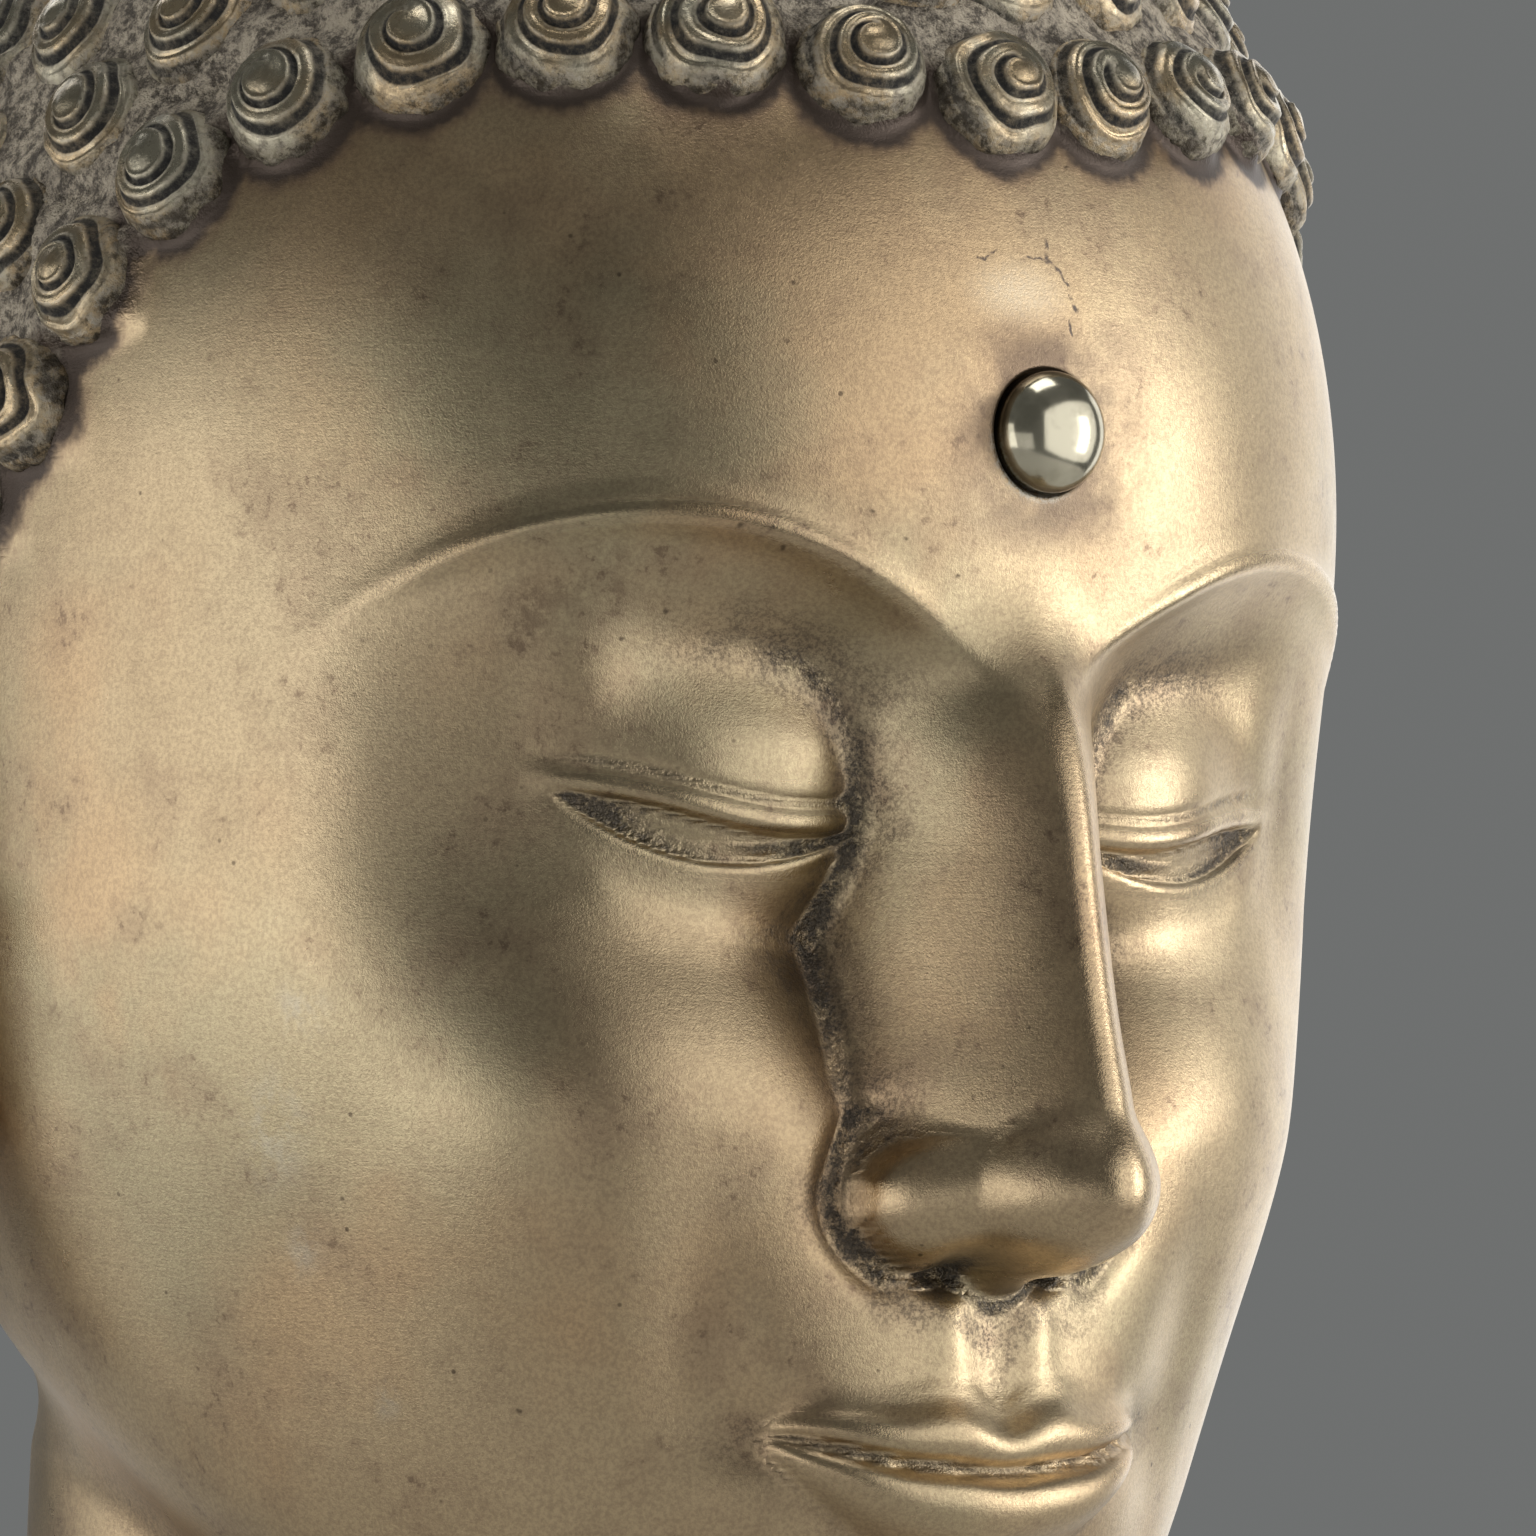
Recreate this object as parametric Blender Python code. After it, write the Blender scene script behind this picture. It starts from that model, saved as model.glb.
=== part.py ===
"""Head of a buddha: a hollow casting with snail-shell curls, and the domed boss set in its forehead.

Metres, +Z up. The face looks along -Y, and the origin is the middle of the flat underside of the neck.
The carving is worked out in fingers, the sculptor's measure: twelve of them make the face, from the
hairline to the chin. Heights on the face are counted up from the chin, and s is the distance round
the face from its middle line.
"""

import math

import bmesh
import bpy
import numpy as np
from mathutils import Matrix, Vector
from mathutils.geometry import delaunay_2d_cdt

# Driving sizes, in metres
FACE_HEIGHT = 0.198
NECK_LENGTH = 0.066
NECK_RADIUS = 0.057
BASE_RADIUS = 0.065
CURL_PITCH = 0.0165
CURL_RADIUS = 0.0075
CURL_HEIGHT = 0.0050
HAIR_THICKNESS = 0.0015
URNA_WIDTH = 0.0135
URNA_RISE = 0.0048
SEAT_DEPTH = 0.0015
SEAT_GAP = 0.0003
EAR_LENGTH = 0.112
EAR_WIDTH = 0.042
EAR_THICKNESS = 0.012

# Proportions, in fingers
FINGER = FACE_HEIGHT / 12
CHIN = NECK_LENGTH / FINGER
CROWN = 14.6
TOP = 17.0
CENTRE = 8.0
ROUND = 5.7
EYE_IN = 1.0
EYE_OUT = 3.25
MOUTH_HALF = 1.62
URNA_HEIGHT = 9.45
EAR_LEVEL = 5.35
EAR_BACK = 0.79
NECK_LEVELS = (0.16, 0.22, 0.27, 0.31, 0.35, 0.42, 0.49, 0.54, 0.59, 0.7, 0.82, 0.92, 1.0)
NECK_SIDES = 30

# The ear's set: how far it stands off the skull and how deep its root goes in, as shares of its
# thickness, and two turns in degrees
EAR_PROUD = 0.375
EAR_LEAN = 7
EAR_FLARE = 13
EAR_ROOT = 0.7

# The curls' rows, as shares of the pitch between curls
FIRST_ROW = 0.52
SECOND_ROW = 1.72
FIRST_START = 0.74
FIRST_VALLEYS = 0.33

# Metals: colour, roughness
BRONZE = ((0.42, 0.34, 0.22), 0.38)
PALE_METAL = ((0.50, 0.46, 0.36), 0.18)


def smooth_step(x, low, high):
    t = np.clip((x - low) / (high - low), 0, 1)
    return t * t * (3 - 2 * t)


def smooth_max(a, b, width):
    t = np.clip(0.5 + 0.5 * (a - b) / width, 0, 1)
    return b * (1 - t) + a * t + width * t * (1 - t)


def bell(x, width):
    return np.exp(-((x / width) ** 2))


def spot(s, z, at_s, at_z, wide, tall):
    return np.exp(-(((s - at_s) / wide) ** 2) - ((z - at_z) / tall) ** 2)


def cap(s, z, at_s, at_z, wide, tall, foot, peak):
    """An ellipsoid's upper half, from foot to peak, that falls away outside its rim."""
    q = ((s - at_s) / wide) ** 2 + ((z - at_z) / tall) ** 2
    return foot + (peak - foot) * np.sqrt(np.clip(1 - q, 0, None)) - 6 * np.clip(q - 1, 0, None)


def quarter_round(x, power):
    return np.clip(1 - np.clip(x, 0, 1) ** power, 0, 1) ** (1 / power)


def through(stations):
    """A smooth curve through the stations that never overshoots them."""
    xs, ys = np.array(stations, float).T
    step = np.diff(xs)
    slope = np.diff(ys) / step
    lean = np.zeros(len(xs))
    lean[0], lean[-1] = slope[0], slope[-1]
    for i in range(1, len(xs) - 1):
        if slope[i - 1] * slope[i] > 0:
            before = 2 * step[i] + step[i - 1]
            after = step[i] + 2 * step[i - 1]
            lean[i] = (before + after) / (before / slope[i - 1] + after / slope[i])

    def curve(x):
        x = np.clip(x, xs[0], xs[-1])
        i = np.clip(np.searchsorted(xs, x, side="right") - 1, 0, len(step) - 1)
        t = (x - xs[i]) / step[i]
        value = (1 + 2 * t) * (1 - t) ** 2 * ys[i] + t * t * (3 - 2 * t) * ys[i + 1]
        return value + step[i] * t * (1 - t) * ((1 - t) * lean[i] - t * lean[i + 1])

    return curve


# The head's outline: height above the chin, then the size there
half_width = through([(0, 3.35), (1, 3.95), (2, 4.38), (4, 4.82), (6, 5.0), (10, 5.05), (14.6, 5.05)])
front_depth = through([(0, 5.3), (2, 5.42), (4, 5.58), (6, 5.7), (8, 5.85), (10, 5.98), (14.6, 6.0)])
back_depth = through([(0, 4.6), (2, 4.8), (4, 5.2), (6, 5.6), (8, 5.9), (10, 6.0), (14.6, 6.0)])
squareness = through([(0, 1.95), (3, 2.1), (6, 2.3), (10, 2.25), (13, 2.05), (14.6, 2.0)])

# The hairline: degrees from the face's middle line, then its height
hairline = through(
    [(0, 11.27), (13, 11.4), (27, 11.55), (39, 11.46), (50, 11.18), (59, 10.8), (67, 10.22), (74, 9.35)]
    + [(80, 8.6), (88, 8.3), (97, 8.5), (105, 8.1), (113, 6.3), (122, 4.3), (133, 3.0), (150, 2.3), (180, 2.0)]
)

# The nose: height above the chin, then how far the ridge stands out and how steep its sides are
nose_ridge = through(
    [(3.5, -0.7), (3.68, 0.0), (3.85, 0.62), (4.02, 1.08), (4.22, 1.38), (4.52, 1.5), (4.9, 1.42)]
    + [(5.6, 1.17), (6.4, 0.88), (7.1, 0.62), (7.6, 0.38), (8.0, 0.1), (8.5, -0.25), (9.0, -0.6)]
)
nose_slope = through([(3.9, 1.9), (4.6, 1.8), (5.6, 1.85), (6.6, 1.75), (7.4, 1.25), (8, 0.75), (8.6, 0.4)])

# The eye socket: distance from the middle line, then its depth
socket_depth = through([(0, 0.75), (1.0, 1.06), (2.2, 0.76), (3.3, 0.34), (4.4, 0.09), (5.4, 0)])


def skull(phi, z):
    ahead = np.cos(phi)
    across = np.abs(np.sin(phi))
    level = z - 1.5 * (1 - ahead) * (1 - smooth_step(z, 3.5, 9))
    n = squareness(level)
    deep = np.where(ahead > 0, front_depth(level), back_depth(level))
    radius = ((across / half_width(level)) ** n + (np.abs(ahead) / deep) ** n) ** (-1 / n)
    jaw = quarter_round((1.5 - level) / 2.12, 2.2)
    crown = quarter_round((z - 8.6) / (CROWN - 8.6), 2.35)
    return radius * jaw * crown


def neck(phi, z):
    """The column of the neck, set a little back, with two soft folds and a flared foot."""
    radius = NECK_RADIUS / FINGER
    flare = (BASE_RADIUS / FINGER - radius) * np.clip((-z / CHIN - 0.45) / 0.55, 0, 1) ** 1.6
    folds = sum(0.07 * bell(z + at * CHIN - 0.2 * np.cos(phi), 0.16) for at in (0.31, 0.54))
    size = radius + flare - folds
    setback = 0.35 * smooth_step(z, -CHIN, -0.5 * CHIN)
    column = np.sqrt(size**2 - (setback * np.sin(phi)) ** 2) - setback * np.cos(phi)
    return np.where(z < 9, column, 0) * (1 - smooth_step(z, 2, 5))


def ushnisha(z):
    """The bump on the crown."""
    foot = 12.6
    return 2.95 * quarter_round((z - foot) / (TOP - foot), 2.1) * smooth_step(z, foot - 2.2, foot)


def brow_line(s):
    peak = 2.5
    return 8.75 - np.where(s < peak, 0.2, 0.15) * (s - peak) ** 2


def eye_share(s):
    return np.clip((s - EYE_IN) / (EYE_OUT - EYE_IN), 0, 1)


def upper_lid(s):
    t = eye_share(s)
    sag = 0.05 * np.sin(np.pi * t) + 0.04 * np.sin(2 * np.pi * t)
    return 6.72 + 0.09 * (s - EYE_IN) - sag


def lower_lid(s):
    return 6.72 + 0.09 * (s - EYE_IN) - 0.33 * np.sin(np.pi * eye_share(s)) ** 0.85


def mouth_line(s):
    return 2.58 + 0.16 * smooth_step(s, 0.5, 1.6) - 0.05 * bell(s, 0.35)


def mouth_share(s):
    return np.clip(s / MOUTH_HALF, 0, 1)


def lip_top(s):
    bow = 0.5 - 0.1 * bell(s, 0.2) + 0.06 * bell(s - 0.45, 0.25)
    return mouth_line(s) + bow * (1 - mouth_share(s) ** 2) ** 0.75


def lip_foot(s):
    return mouth_line(s) - 0.72 * (1 - mouth_share(s) ** 2.4) ** 0.8


def lip_roll(share, crest):
    """A lip's round section: its share of the full height, which it reaches at the crest."""
    inner = 1 - 0.4 * np.clip((crest - share) / crest, 0, 1) ** 2
    outer = np.clip(1 - ((share - crest) / (1 - crest)) ** 2, 0, 1) ** 1.4
    return np.where(share < crest, inner, outer)


def broad_forms(s, z):
    """The socket under the brow's crest, the cheek, the muzzle and the chin."""
    below = brow_line(s) - z
    outer = 1 - smooth_step(s, 3.4, 5.4)
    under_crest = 0.5 * (below + np.sqrt(below**2 + 0.003))
    drop = 1 - np.exp(-((under_crest / 0.8) ** 1.2))
    h = -socket_depth(s) * drop * outer * (1 - smooth_step(below, 1.7, 4.0))
    h = h + 0.07 * bell(below, 0.12) * outer * smooth_step(s, 0.5, 1.4)
    h = h + 0.24 * spot(s, z, 3.0, 4.7, 1.5, 1.5) - 0.08 * spot(s, z, 2.1, 3.2, 0.4, 1.1)
    h = h + 0.34 * spot(s, z, 0, 2.75, 1.75, 1.25)
    return h + 0.34 * spot(s, z, 0, 0.72, 1.15, 0.78) - 0.15 * spot(s, z, 0, 1.62, 1.0, 0.3)


def with_eye(h, s, z):
    """The eyeball under a heavy upper lid and a thin lower one, with a rim along each."""
    over = z - upper_lid(s)
    under = lower_lid(s) - z
    inner = smooth_step(s, EYE_IN - 0.12, EYE_IN + 0.12)
    outer = 1 - smooth_step(s, EYE_OUT - 0.45, EYE_OUT + 0.35)
    h = smooth_max(h, cap(s, z, 2.14, 6.95, 1.42, 1.2, -1.08, -0.38), 0.24)
    upper = 0.085 * smooth_step(over, -0.03, 0.03) * (1 - smooth_step(over, 0.5, 1.3))
    rim = 0.03 * bell(over - 0.08, 0.06) - 0.03 * bell(over - 0.22, 0.05)
    lower = 0.075 * smooth_step(under, -0.03, 0.03) * (1 - smooth_step(under, 0.12, 0.75))
    return h + inner * outer * (upper + rim + lower)


def with_nose(h, s, z):
    ridge = nose_ridge(z) - nose_slope(z) * (np.sqrt(s * s + 0.04) - 0.2)
    h = smooth_max(h, ridge, 0.34)
    h = smooth_max(h, cap(s, z, 0, 4.46, 0.56, 0.6, 0.6, 1.52), 0.4)
    h = smooth_max(h, cap(s, z, 0.56, 4.33, 0.52, 0.46, 0.1, 0.7), 0.7)
    h = h - 0.07 * bell(np.hypot((s - 0.58) / 0.66, (z - 4.36) / 0.6) - 1, 0.2) * smooth_step(s, 0.6, 0.95)
    return h - 0.3 * spot(s, z, 0.4, 3.9, 0.2, 0.13)


def with_mouth(h, s, z):
    middle = mouth_line(s)
    up = np.clip((z - middle) / np.maximum(lip_top(s) - middle, 0.001), 0, 1)
    down = np.clip((middle - z) / np.maximum(middle - lip_foot(s), 0.001), 0, 1)
    full = 1 - mouth_share(s) ** 2.4
    on_upper = z >= middle
    upper = 0.22 * full**0.6 * lip_roll(up, 0.4) * np.where(on_upper, 1, 0)
    lower = 0.34 * full**0.7 * lip_roll(down, 0.36) * np.where(on_upper, 0, 1)
    h = h + upper + lower + 0.045 * full**0.5 * bell(z - lip_top(s), 0.07)
    parting = 1 - smooth_step(s, MOUTH_HALF - 0.2, MOUTH_HALF + 0.2)
    h = h - (0.04 + 0.08 * full) * bell(z - middle, 0.045) * parting
    h = h - 0.09 * spot(s, z, MOUTH_HALF, middle, 0.4, 0.3)
    groove = smooth_step(z - lip_top(s), -0.02, 0.2) * (1 - smooth_step(z, 3.5, 3.85))
    return h + (0.03 * bell(s - 0.36, 0.15) - 0.045 * bell(s, 0.22)) * groove


def face_relief(phi, z):
    s = np.abs(phi) * ROUND
    h = with_mouth(with_nose(with_eye(broad_forms(s, z), s, z), s, z), s, z)
    return h * smooth_step(np.cos(phi), 0, 0.35) * smooth_step(z, -0.8, 0.2)


def skin(phi, z):
    """Distance of the bare head's surface from the upright axis, in fingers."""
    soft = 0.35 + 1.1 * smooth_step(-np.cos(phi), -0.3, 0.7)
    radius = smooth_max(skull(phi, z), neck(phi, z), soft)
    return np.where(z > 9.5, smooth_max(radius, ushnisha(z), 0.9), radius) + face_relief(phi, z)


def into_hair(phi, z):
    """How far inside the hairline a point is, square to the hairline."""
    degrees = np.degrees(np.abs(phi))
    run = np.radians(2) * ROUND
    slope = (hairline(degrees + 1) - hairline(degrees - 1)) / run
    return (z - hairline(degrees)) / np.sqrt(1 + slope**2)


def ground(phi, z):
    """The skin, with the hair's ground laid on it inside the hairline."""
    return skin(phi, z) + HAIR_THICKNESS / FINGER * smooth_step(into_hair(phi, z), -0.1, 0.15)


def placed(phi, z, radius):
    """Points in fingers, measured from the chin's level on the axis."""
    return np.stack([radius * np.sin(phi), -radius * np.cos(phi), z], -1)


def cast_out(toward):
    """Where rays from the middle of the head along these directions meet the ground."""
    toward = toward / np.linalg.norm(toward, axis=-1, keepdims=True)
    flat = np.hypot(toward[..., 0], toward[..., 1])
    phi = np.arctan2(toward[..., 0], -toward[..., 1])
    near = np.zeros(flat.shape)
    far = np.full(flat.shape, 14.0)
    for _ in range(34):
        middle = 0.5 * (near + far)
        z = np.clip(CENTRE + middle * toward[..., 2], -CHIN, TOP)
        inside = (middle * flat < ground(phi, z)) & (CENTRE + middle * toward[..., 2] < TOP)
        near = np.where(inside, middle, near)
        far = np.where(inside, far, middle)
    return np.array([0, 0, CENTRE]) + toward * near[..., None]


def normals_at(points):
    """Outward unit normals of the ground, with two directions along it."""
    toward = points - np.array([0, 0, CENTRE])
    toward = toward / np.linalg.norm(toward, axis=-1, keepdims=True)
    aside = np.cross(toward, [0.31, 0.17, 0.93])
    aside /= np.linalg.norm(aside, axis=-1, keepdims=True)
    other = np.cross(toward, aside)
    reach = 0.03
    along = cast_out(toward + reach * aside) - cast_out(toward - reach * aside)
    across = cast_out(toward + reach * other) - cast_out(toward - reach * other)
    normal = np.cross(along, across)
    normal /= np.linalg.norm(normal, axis=-1, keepdims=True)
    along /= np.linalg.norm(along, axis=-1, keepdims=True)
    return normal, along, np.cross(normal, along)


def hairline_points(inset, spacing, shift):
    """Evenly spaced points along the hairline, this far inside it."""
    degrees = np.linspace(0, 180, 721)
    phi = np.radians(degrees)
    line = placed(phi, hairline(degrees), ground(phi, hairline(degrees)))
    ahead = np.gradient(line, axis=0)
    outward, _, _ = normals_at(line)
    inward = np.cross(outward, ahead)
    inward /= np.linalg.norm(inward, axis=1, keepdims=True)
    line = cast_out(line + inset * inward - np.array([0, 0, CENTRE]))
    run = np.concatenate([[0], np.cumsum(np.linalg.norm(np.diff(line, axis=0), axis=1))])
    count = round(2 * run[-1] / spacing)
    wanted = (np.arange(count) + shift) * 2 * run[-1] / count
    side = np.where(wanted > run[-1], -1, 1)
    wanted = np.where(wanted > run[-1], 2 * run[-1] - wanted, wanted)
    even = np.stack([np.interp(wanted, run, line[:, i]) for i in range(3)], 1)
    even[:, 0] *= side
    return even


def curl_places():
    """Foot points of the curls: two rows along the hairline, then the rest packed inward."""
    pitch = CURL_PITCH / FINGER
    kept = hairline_points(FIRST_ROW * pitch, pitch, FIRST_START)
    kept = np.concatenate([kept, hairline_points(SECOND_ROW * pitch, pitch, FIRST_START - 0.5)])
    rows = len(kept)
    count = 30000
    turn = np.pi * (3 - math.sqrt(5)) * np.arange(count)
    height = 1 - 2 * (np.arange(count) + 0.5) / count
    wide = np.sqrt(1 - height**2)
    field = cast_out(np.stack([wide * np.sin(turn), -wide * np.cos(turn), height], 1))
    phi = np.arctan2(field[:, 0], -field[:, 1])
    field = field[into_hair(phi, field[:, 2]) > pitch]
    depth = np.min(np.linalg.norm(field[:, None] - kept[None], axis=2), axis=1)
    field = field[np.argsort(depth)]
    for point in field:
        if np.min(np.linalg.norm(kept - point, axis=1)) > 0.95 * pitch:
            kept = np.concatenate([kept, point[None]])
    loose = kept[rows:]
    for _ in range(40):
        away = loose[:, None] - np.concatenate([kept[:rows], loose])[None]
        far = np.linalg.norm(away, axis=2)
        push = np.where(far > 0.01, np.clip(1.15 * pitch - far, 0, None), 0)
        step = (away / np.maximum(far, 0.01)[..., None] * push[..., None]).sum(1)
        loose = cast_out(loose + 0.22 * step - np.array([0, 0, CENTRE]))
    return np.concatenate([kept[:rows], loose])


def neighbour_faces(points):
    """The triangles that join these points, seen from the middle of the head.

    Their directions are laid out on a plane from the bottom pole, which keeps circles round.
    """
    toward = points - np.array([0, 0, CENTRE])
    toward = toward / np.linalg.norm(toward, axis=1, keepdims=True)
    flat = toward[:, :2] / (1 + toward[:, 2:])
    _, _, faces, kept, _, _ = delaunay_2d_cdt([Vector(p) for p in flat], [], [], 0, 1e-7)
    return [[kept[corner][0] for corner in face] for face in faces]


def curl_points(feet):
    """Each curl is a blunt cone: a peak and a shoulder, with valleys shared by its neighbours."""
    pitch = CURL_PITCH / FINGER
    normal, along, across = normals_at(feet)
    height = CURL_HEIGHT / FINGER
    shoulder = 0.42 * CURL_RADIUS / FINGER
    points = [feet + normal * height]
    for turn in np.arange(5) * math.tau / 5:
        reach = shoulder * (math.cos(turn) * along + math.sin(turn) * across)
        points.append(feet + reach + normal * 0.78 * height)
    valleys = []
    for face in neighbour_faces(feet):
        corners = feet[face]
        sides = np.linalg.norm(corners - np.roll(corners, 1, axis=0), axis=1)
        if sides.max() < 1.75 * pitch:
            valleys.append(corners.mean(0))
    valleys = cast_out(np.array(valleys) - np.array([0, 0, CENTRE]))
    return np.concatenate(points + [valleys, hairline_points(FIRST_VALLEYS * pitch, pitch, FIRST_START - 0.5)])


def feature_lines():
    """The lines that the facets follow: distance round the face, then height."""
    eye = np.linspace(EYE_IN, EYE_OUT, 9)
    brow = np.linspace(0.35, 4.4, 12)
    lips = np.linspace(0, MOUTH_HALF, 7)
    ridge = np.array([3.6, 3.85, 4.1, 4.45, 4.9, 5.5, 6.2, 6.9, 7.6, 8.2])
    wing = np.linspace(0.15, 0.95, 6) * math.pi
    lines = [(eye, upper_lid(eye) - 0.03), (eye[1:-1], upper_lid(eye[1:-1]) + 0.09)]
    lines += [(eye[1:-1], lower_lid(eye[1:-1]) + 0.03), (eye[1:-1], lower_lid(eye[1:-1]) - 0.09)]
    lines += [(eye, upper_lid(eye) + 0.62), (brow, brow_line(brow)), (brow, brow_line(brow) - 0.3)]
    lines += [(lips, mouth_line(lips)), (lips[:-1], lip_top(lips[:-1])), (lips[:-1], lip_foot(lips[:-1]))]
    lines += [(lips[:-1], 0.45 * mouth_line(lips[:-1]) + 0.55 * lip_top(lips[:-1]))]
    lines += [(lips[:-1], 0.5 * mouth_line(lips[:-1]) + 0.5 * lip_foot(lips[:-1]))]
    lines += [(0 * ridge, ridge), (0.64 + 0.38 * np.sin(wing), 4.36 + 0.42 * np.cos(wing))]
    lines += [(0.5 * wing, 3.62 + 0 * wing), (0.36 + 0.16 * np.sin(2 * wing), 3.98 + 0.1 * np.cos(2 * wing))]
    return np.concatenate([np.stack(line, 1) for line in lines])


def facet_size(s, z):
    """The spacing of the facets' corners: close on the features, wide on the plain skin."""
    fine = 0.40 * spot(s, z, 2.1, 6.9, 1.5, 1.1) + 0.44 * spot(s, z, 0.3, 4.4, 1.1, 1.1)
    fine = fine + 0.38 * spot(s, z, 0, 2.6, 2.0, 0.9)
    return np.maximum(0.62 - fine, 0.2) + 0.25 * smooth_step(s, 4.5, 9)


def skin_points(edge):
    """Points on the bare skin: the features first, then the rest by the size of their facets."""
    rows = np.arange(-0.35, 12, 0.09)
    columns = np.arange(0, math.pi * ROUND, 0.09)
    plain = np.stack(np.meshgrid(columns, rows), -1).reshape(-1, 2)
    wanted = np.concatenate([feature_lines(), plain])
    phi = wanted[:, 0] / ROUND
    wanted = wanted[into_hair(phi, wanted[:, 1]) < -0.3]
    phi = wanted[:, 0] / ROUND
    places = placed(phi, wanted[:, 1], ground(phi, wanted[:, 1]))
    size = facet_size(wanted[:, 0], wanted[:, 1])
    size[: len(feature_lines())] = 0.13
    kept = edge[edge[:, 0] > -0.01]
    edges = len(kept)
    for place, gap in zip(places, size):
        clear = np.linalg.norm(kept - place, axis=1)
        clear[:edges] *= 0.75
        if clear.min() > gap and (place[0] > 0.5 * gap or abs(place[0]) < 0.001):
            kept = np.concatenate([kept, place[None]])
    half = kept[edges:]
    mirrored = half[np.abs(half[:, 0]) > 0.001] * np.array([-1, 1, 1])
    return np.concatenate([half, mirrored])


def neck_ring(phi, level):
    return placed(phi, np.full(len(phi), level), ground(phi, np.full(len(phi), level)))


def in_metres(points):
    return (points + np.array([0, 0, CHIN])) * FINGER


def draw_down_neck(shape):
    """Extrudes the open rim under the jaw, ring by ring, and closes it with the flat underside."""
    rim = [edge for edge in shape.edges if edge.is_boundary]
    for share in NECK_LEVELS[1:]:
        made = bmesh.ops.extrude_edge_only(shape, edges=rim)["geom"]
        ring = [part for part in made if isinstance(part, bmesh.types.BMVert)]
        rim = [part for part in made if isinstance(part, bmesh.types.BMEdge) and part.is_boundary]
        phi = np.array([math.atan2(vertex.co.x, -vertex.co.y) for vertex in ring])
        for vertex, place in zip(ring, in_metres(neck_ring(phi, -share * CHIN))):
            vertex.co = place
    bmesh.ops.contextual_create(shape, geom=rim)


def metal(name, finish):
    colour, roughness = finish
    material = bpy.data.materials.new(name)
    material.use_nodes = True
    shader = material.node_tree.nodes["Principled BSDF"]
    shader.inputs["Base Color"].default_value = (*colour, 1)
    shader.inputs["Metallic"].default_value = 1
    shader.inputs["Roughness"].default_value = roughness
    return material


def new_object(name, mesh, collection):
    made = bpy.data.objects.new(name, mesh)
    collection.objects.link(made)
    return made


def head_mesh():
    """The head's skin stretched over its points, without the ears and the boss's seat."""
    feet = curl_places()
    edge = hairline_points(0, 0.3, 0.5)
    turns = np.radians(np.arange(NECK_SIDES) * 360 / NECK_SIDES - 180)
    top_ring = neck_ring(turns, -NECK_LEVELS[0] * CHIN)
    points = np.concatenate([curl_points(feet), edge, skin_points(edge), top_ring])
    mesh = bpy.data.meshes.new("head")
    mesh.from_pydata(in_metres(points).tolist(), [], neighbour_faces(points))
    shape = bmesh.new()
    shape.from_mesh(mesh)
    draw_down_neck(shape)
    bmesh.ops.recalc_face_normals(shape, faces=shape.faces)
    shape.to_mesh(mesh)
    shape.free()
    return mesh


def ear_surface(turn, share, outer):
    """A point of the ear, by its angle round the ear and its share of the way from middle to rim."""
    up = share * np.sin(turn)
    width = np.interp(up, [-1, -0.8, -0.35, 0.1, 0.5, 0.8, 1], [0.3, 0.42, 0.45, 0.62, 0.95, 1.0, 0.9])
    aside = share * np.copysign(np.abs(np.cos(turn)) ** 0.65, np.cos(turn)) * width
    around = np.hypot((aside - 0.1) / 0.36, (up - 0.13) / 0.25)
    bowl = 1 - smooth_step(around, 0.4, 1.1)
    fold = bell(around - 1.42, 0.24) * smooth_step(0.42 - aside, 0, 0.3) * smooth_step(up, -0.32, -0.1)
    rim = bell(share - 0.86, 0.1) * smooth_step(up, -0.5, -0.15)
    crus = spot(aside, up, 0.42, 0.34, 0.26, 0.05)
    tragus = spot(aside, up, 0.52, 0.1, 0.14, 0.09)
    slit = spot(aside, up, 0.02, -0.6, 0.11, 0.22)
    lobe = 0.2 * spot(aside, up, 0, -0.86, 0.3, 0.12)
    face = 0.3 + 0.5 * rim - 0.65 * bowl + 0.3 * fold + 0.22 * crus + 0.36 * tragus - 0.45 * slit + lobe
    edge = quarter_round(share, 4)
    root = EAR_ROOT * smooth_step(up, -0.5, -0.1) * (1 - smooth_step(share, 0.55, 0.98))
    depth = np.where(outer, face * edge, -0.35 * edge - root)
    return aside * EAR_WIDTH / 2, up * EAR_LENGTH / 2, depth * EAR_THICKNESS


def ear_mesh(side):
    """One ear, a closed shell from a sphere whose rings are the rings of the ear."""
    shape = bmesh.new()
    bmesh.ops.create_uvsphere(shape, u_segments=26, v_segments=18, radius=1)
    for vertex in shape.verts:
        flat = math.hypot(vertex.co.x, vertex.co.y)
        turn = math.atan2(vertex.co.y, vertex.co.x)
        share = math.asin(min(flat, 1)) / (0.5 * math.pi)
        vertex.co = Vector(ear_surface(turn, share, vertex.co.z > 0.001))
    aside = half_width(EAR_LEVEL) * FINGER + EAR_PROUD * EAR_THICKNESS
    place = Matrix.Translation((aside, EAR_BACK * FINGER, (CHIN + EAR_LEVEL) * FINGER))
    lean = Matrix.Rotation(math.radians(-EAR_LEAN), 4, "X")
    flare = Matrix.Rotation(math.radians(-EAR_FLARE), 4, "Z")
    stand = Matrix(((0, 0, 1, 0), (-1, 0, 0, 0), (0, 1, 0, 0), (0, 0, 0, 1)))
    shape.transform(place @ lean @ flare @ stand)
    if side < 0:
        bmesh.ops.scale(shape, vec=(-1, 1, 1), verts=shape.verts)
    bmesh.ops.recalc_face_normals(shape, faces=shape.faces)
    mesh = bpy.data.meshes.new("ear")
    shape.to_mesh(mesh)
    shape.free()
    return mesh


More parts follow.
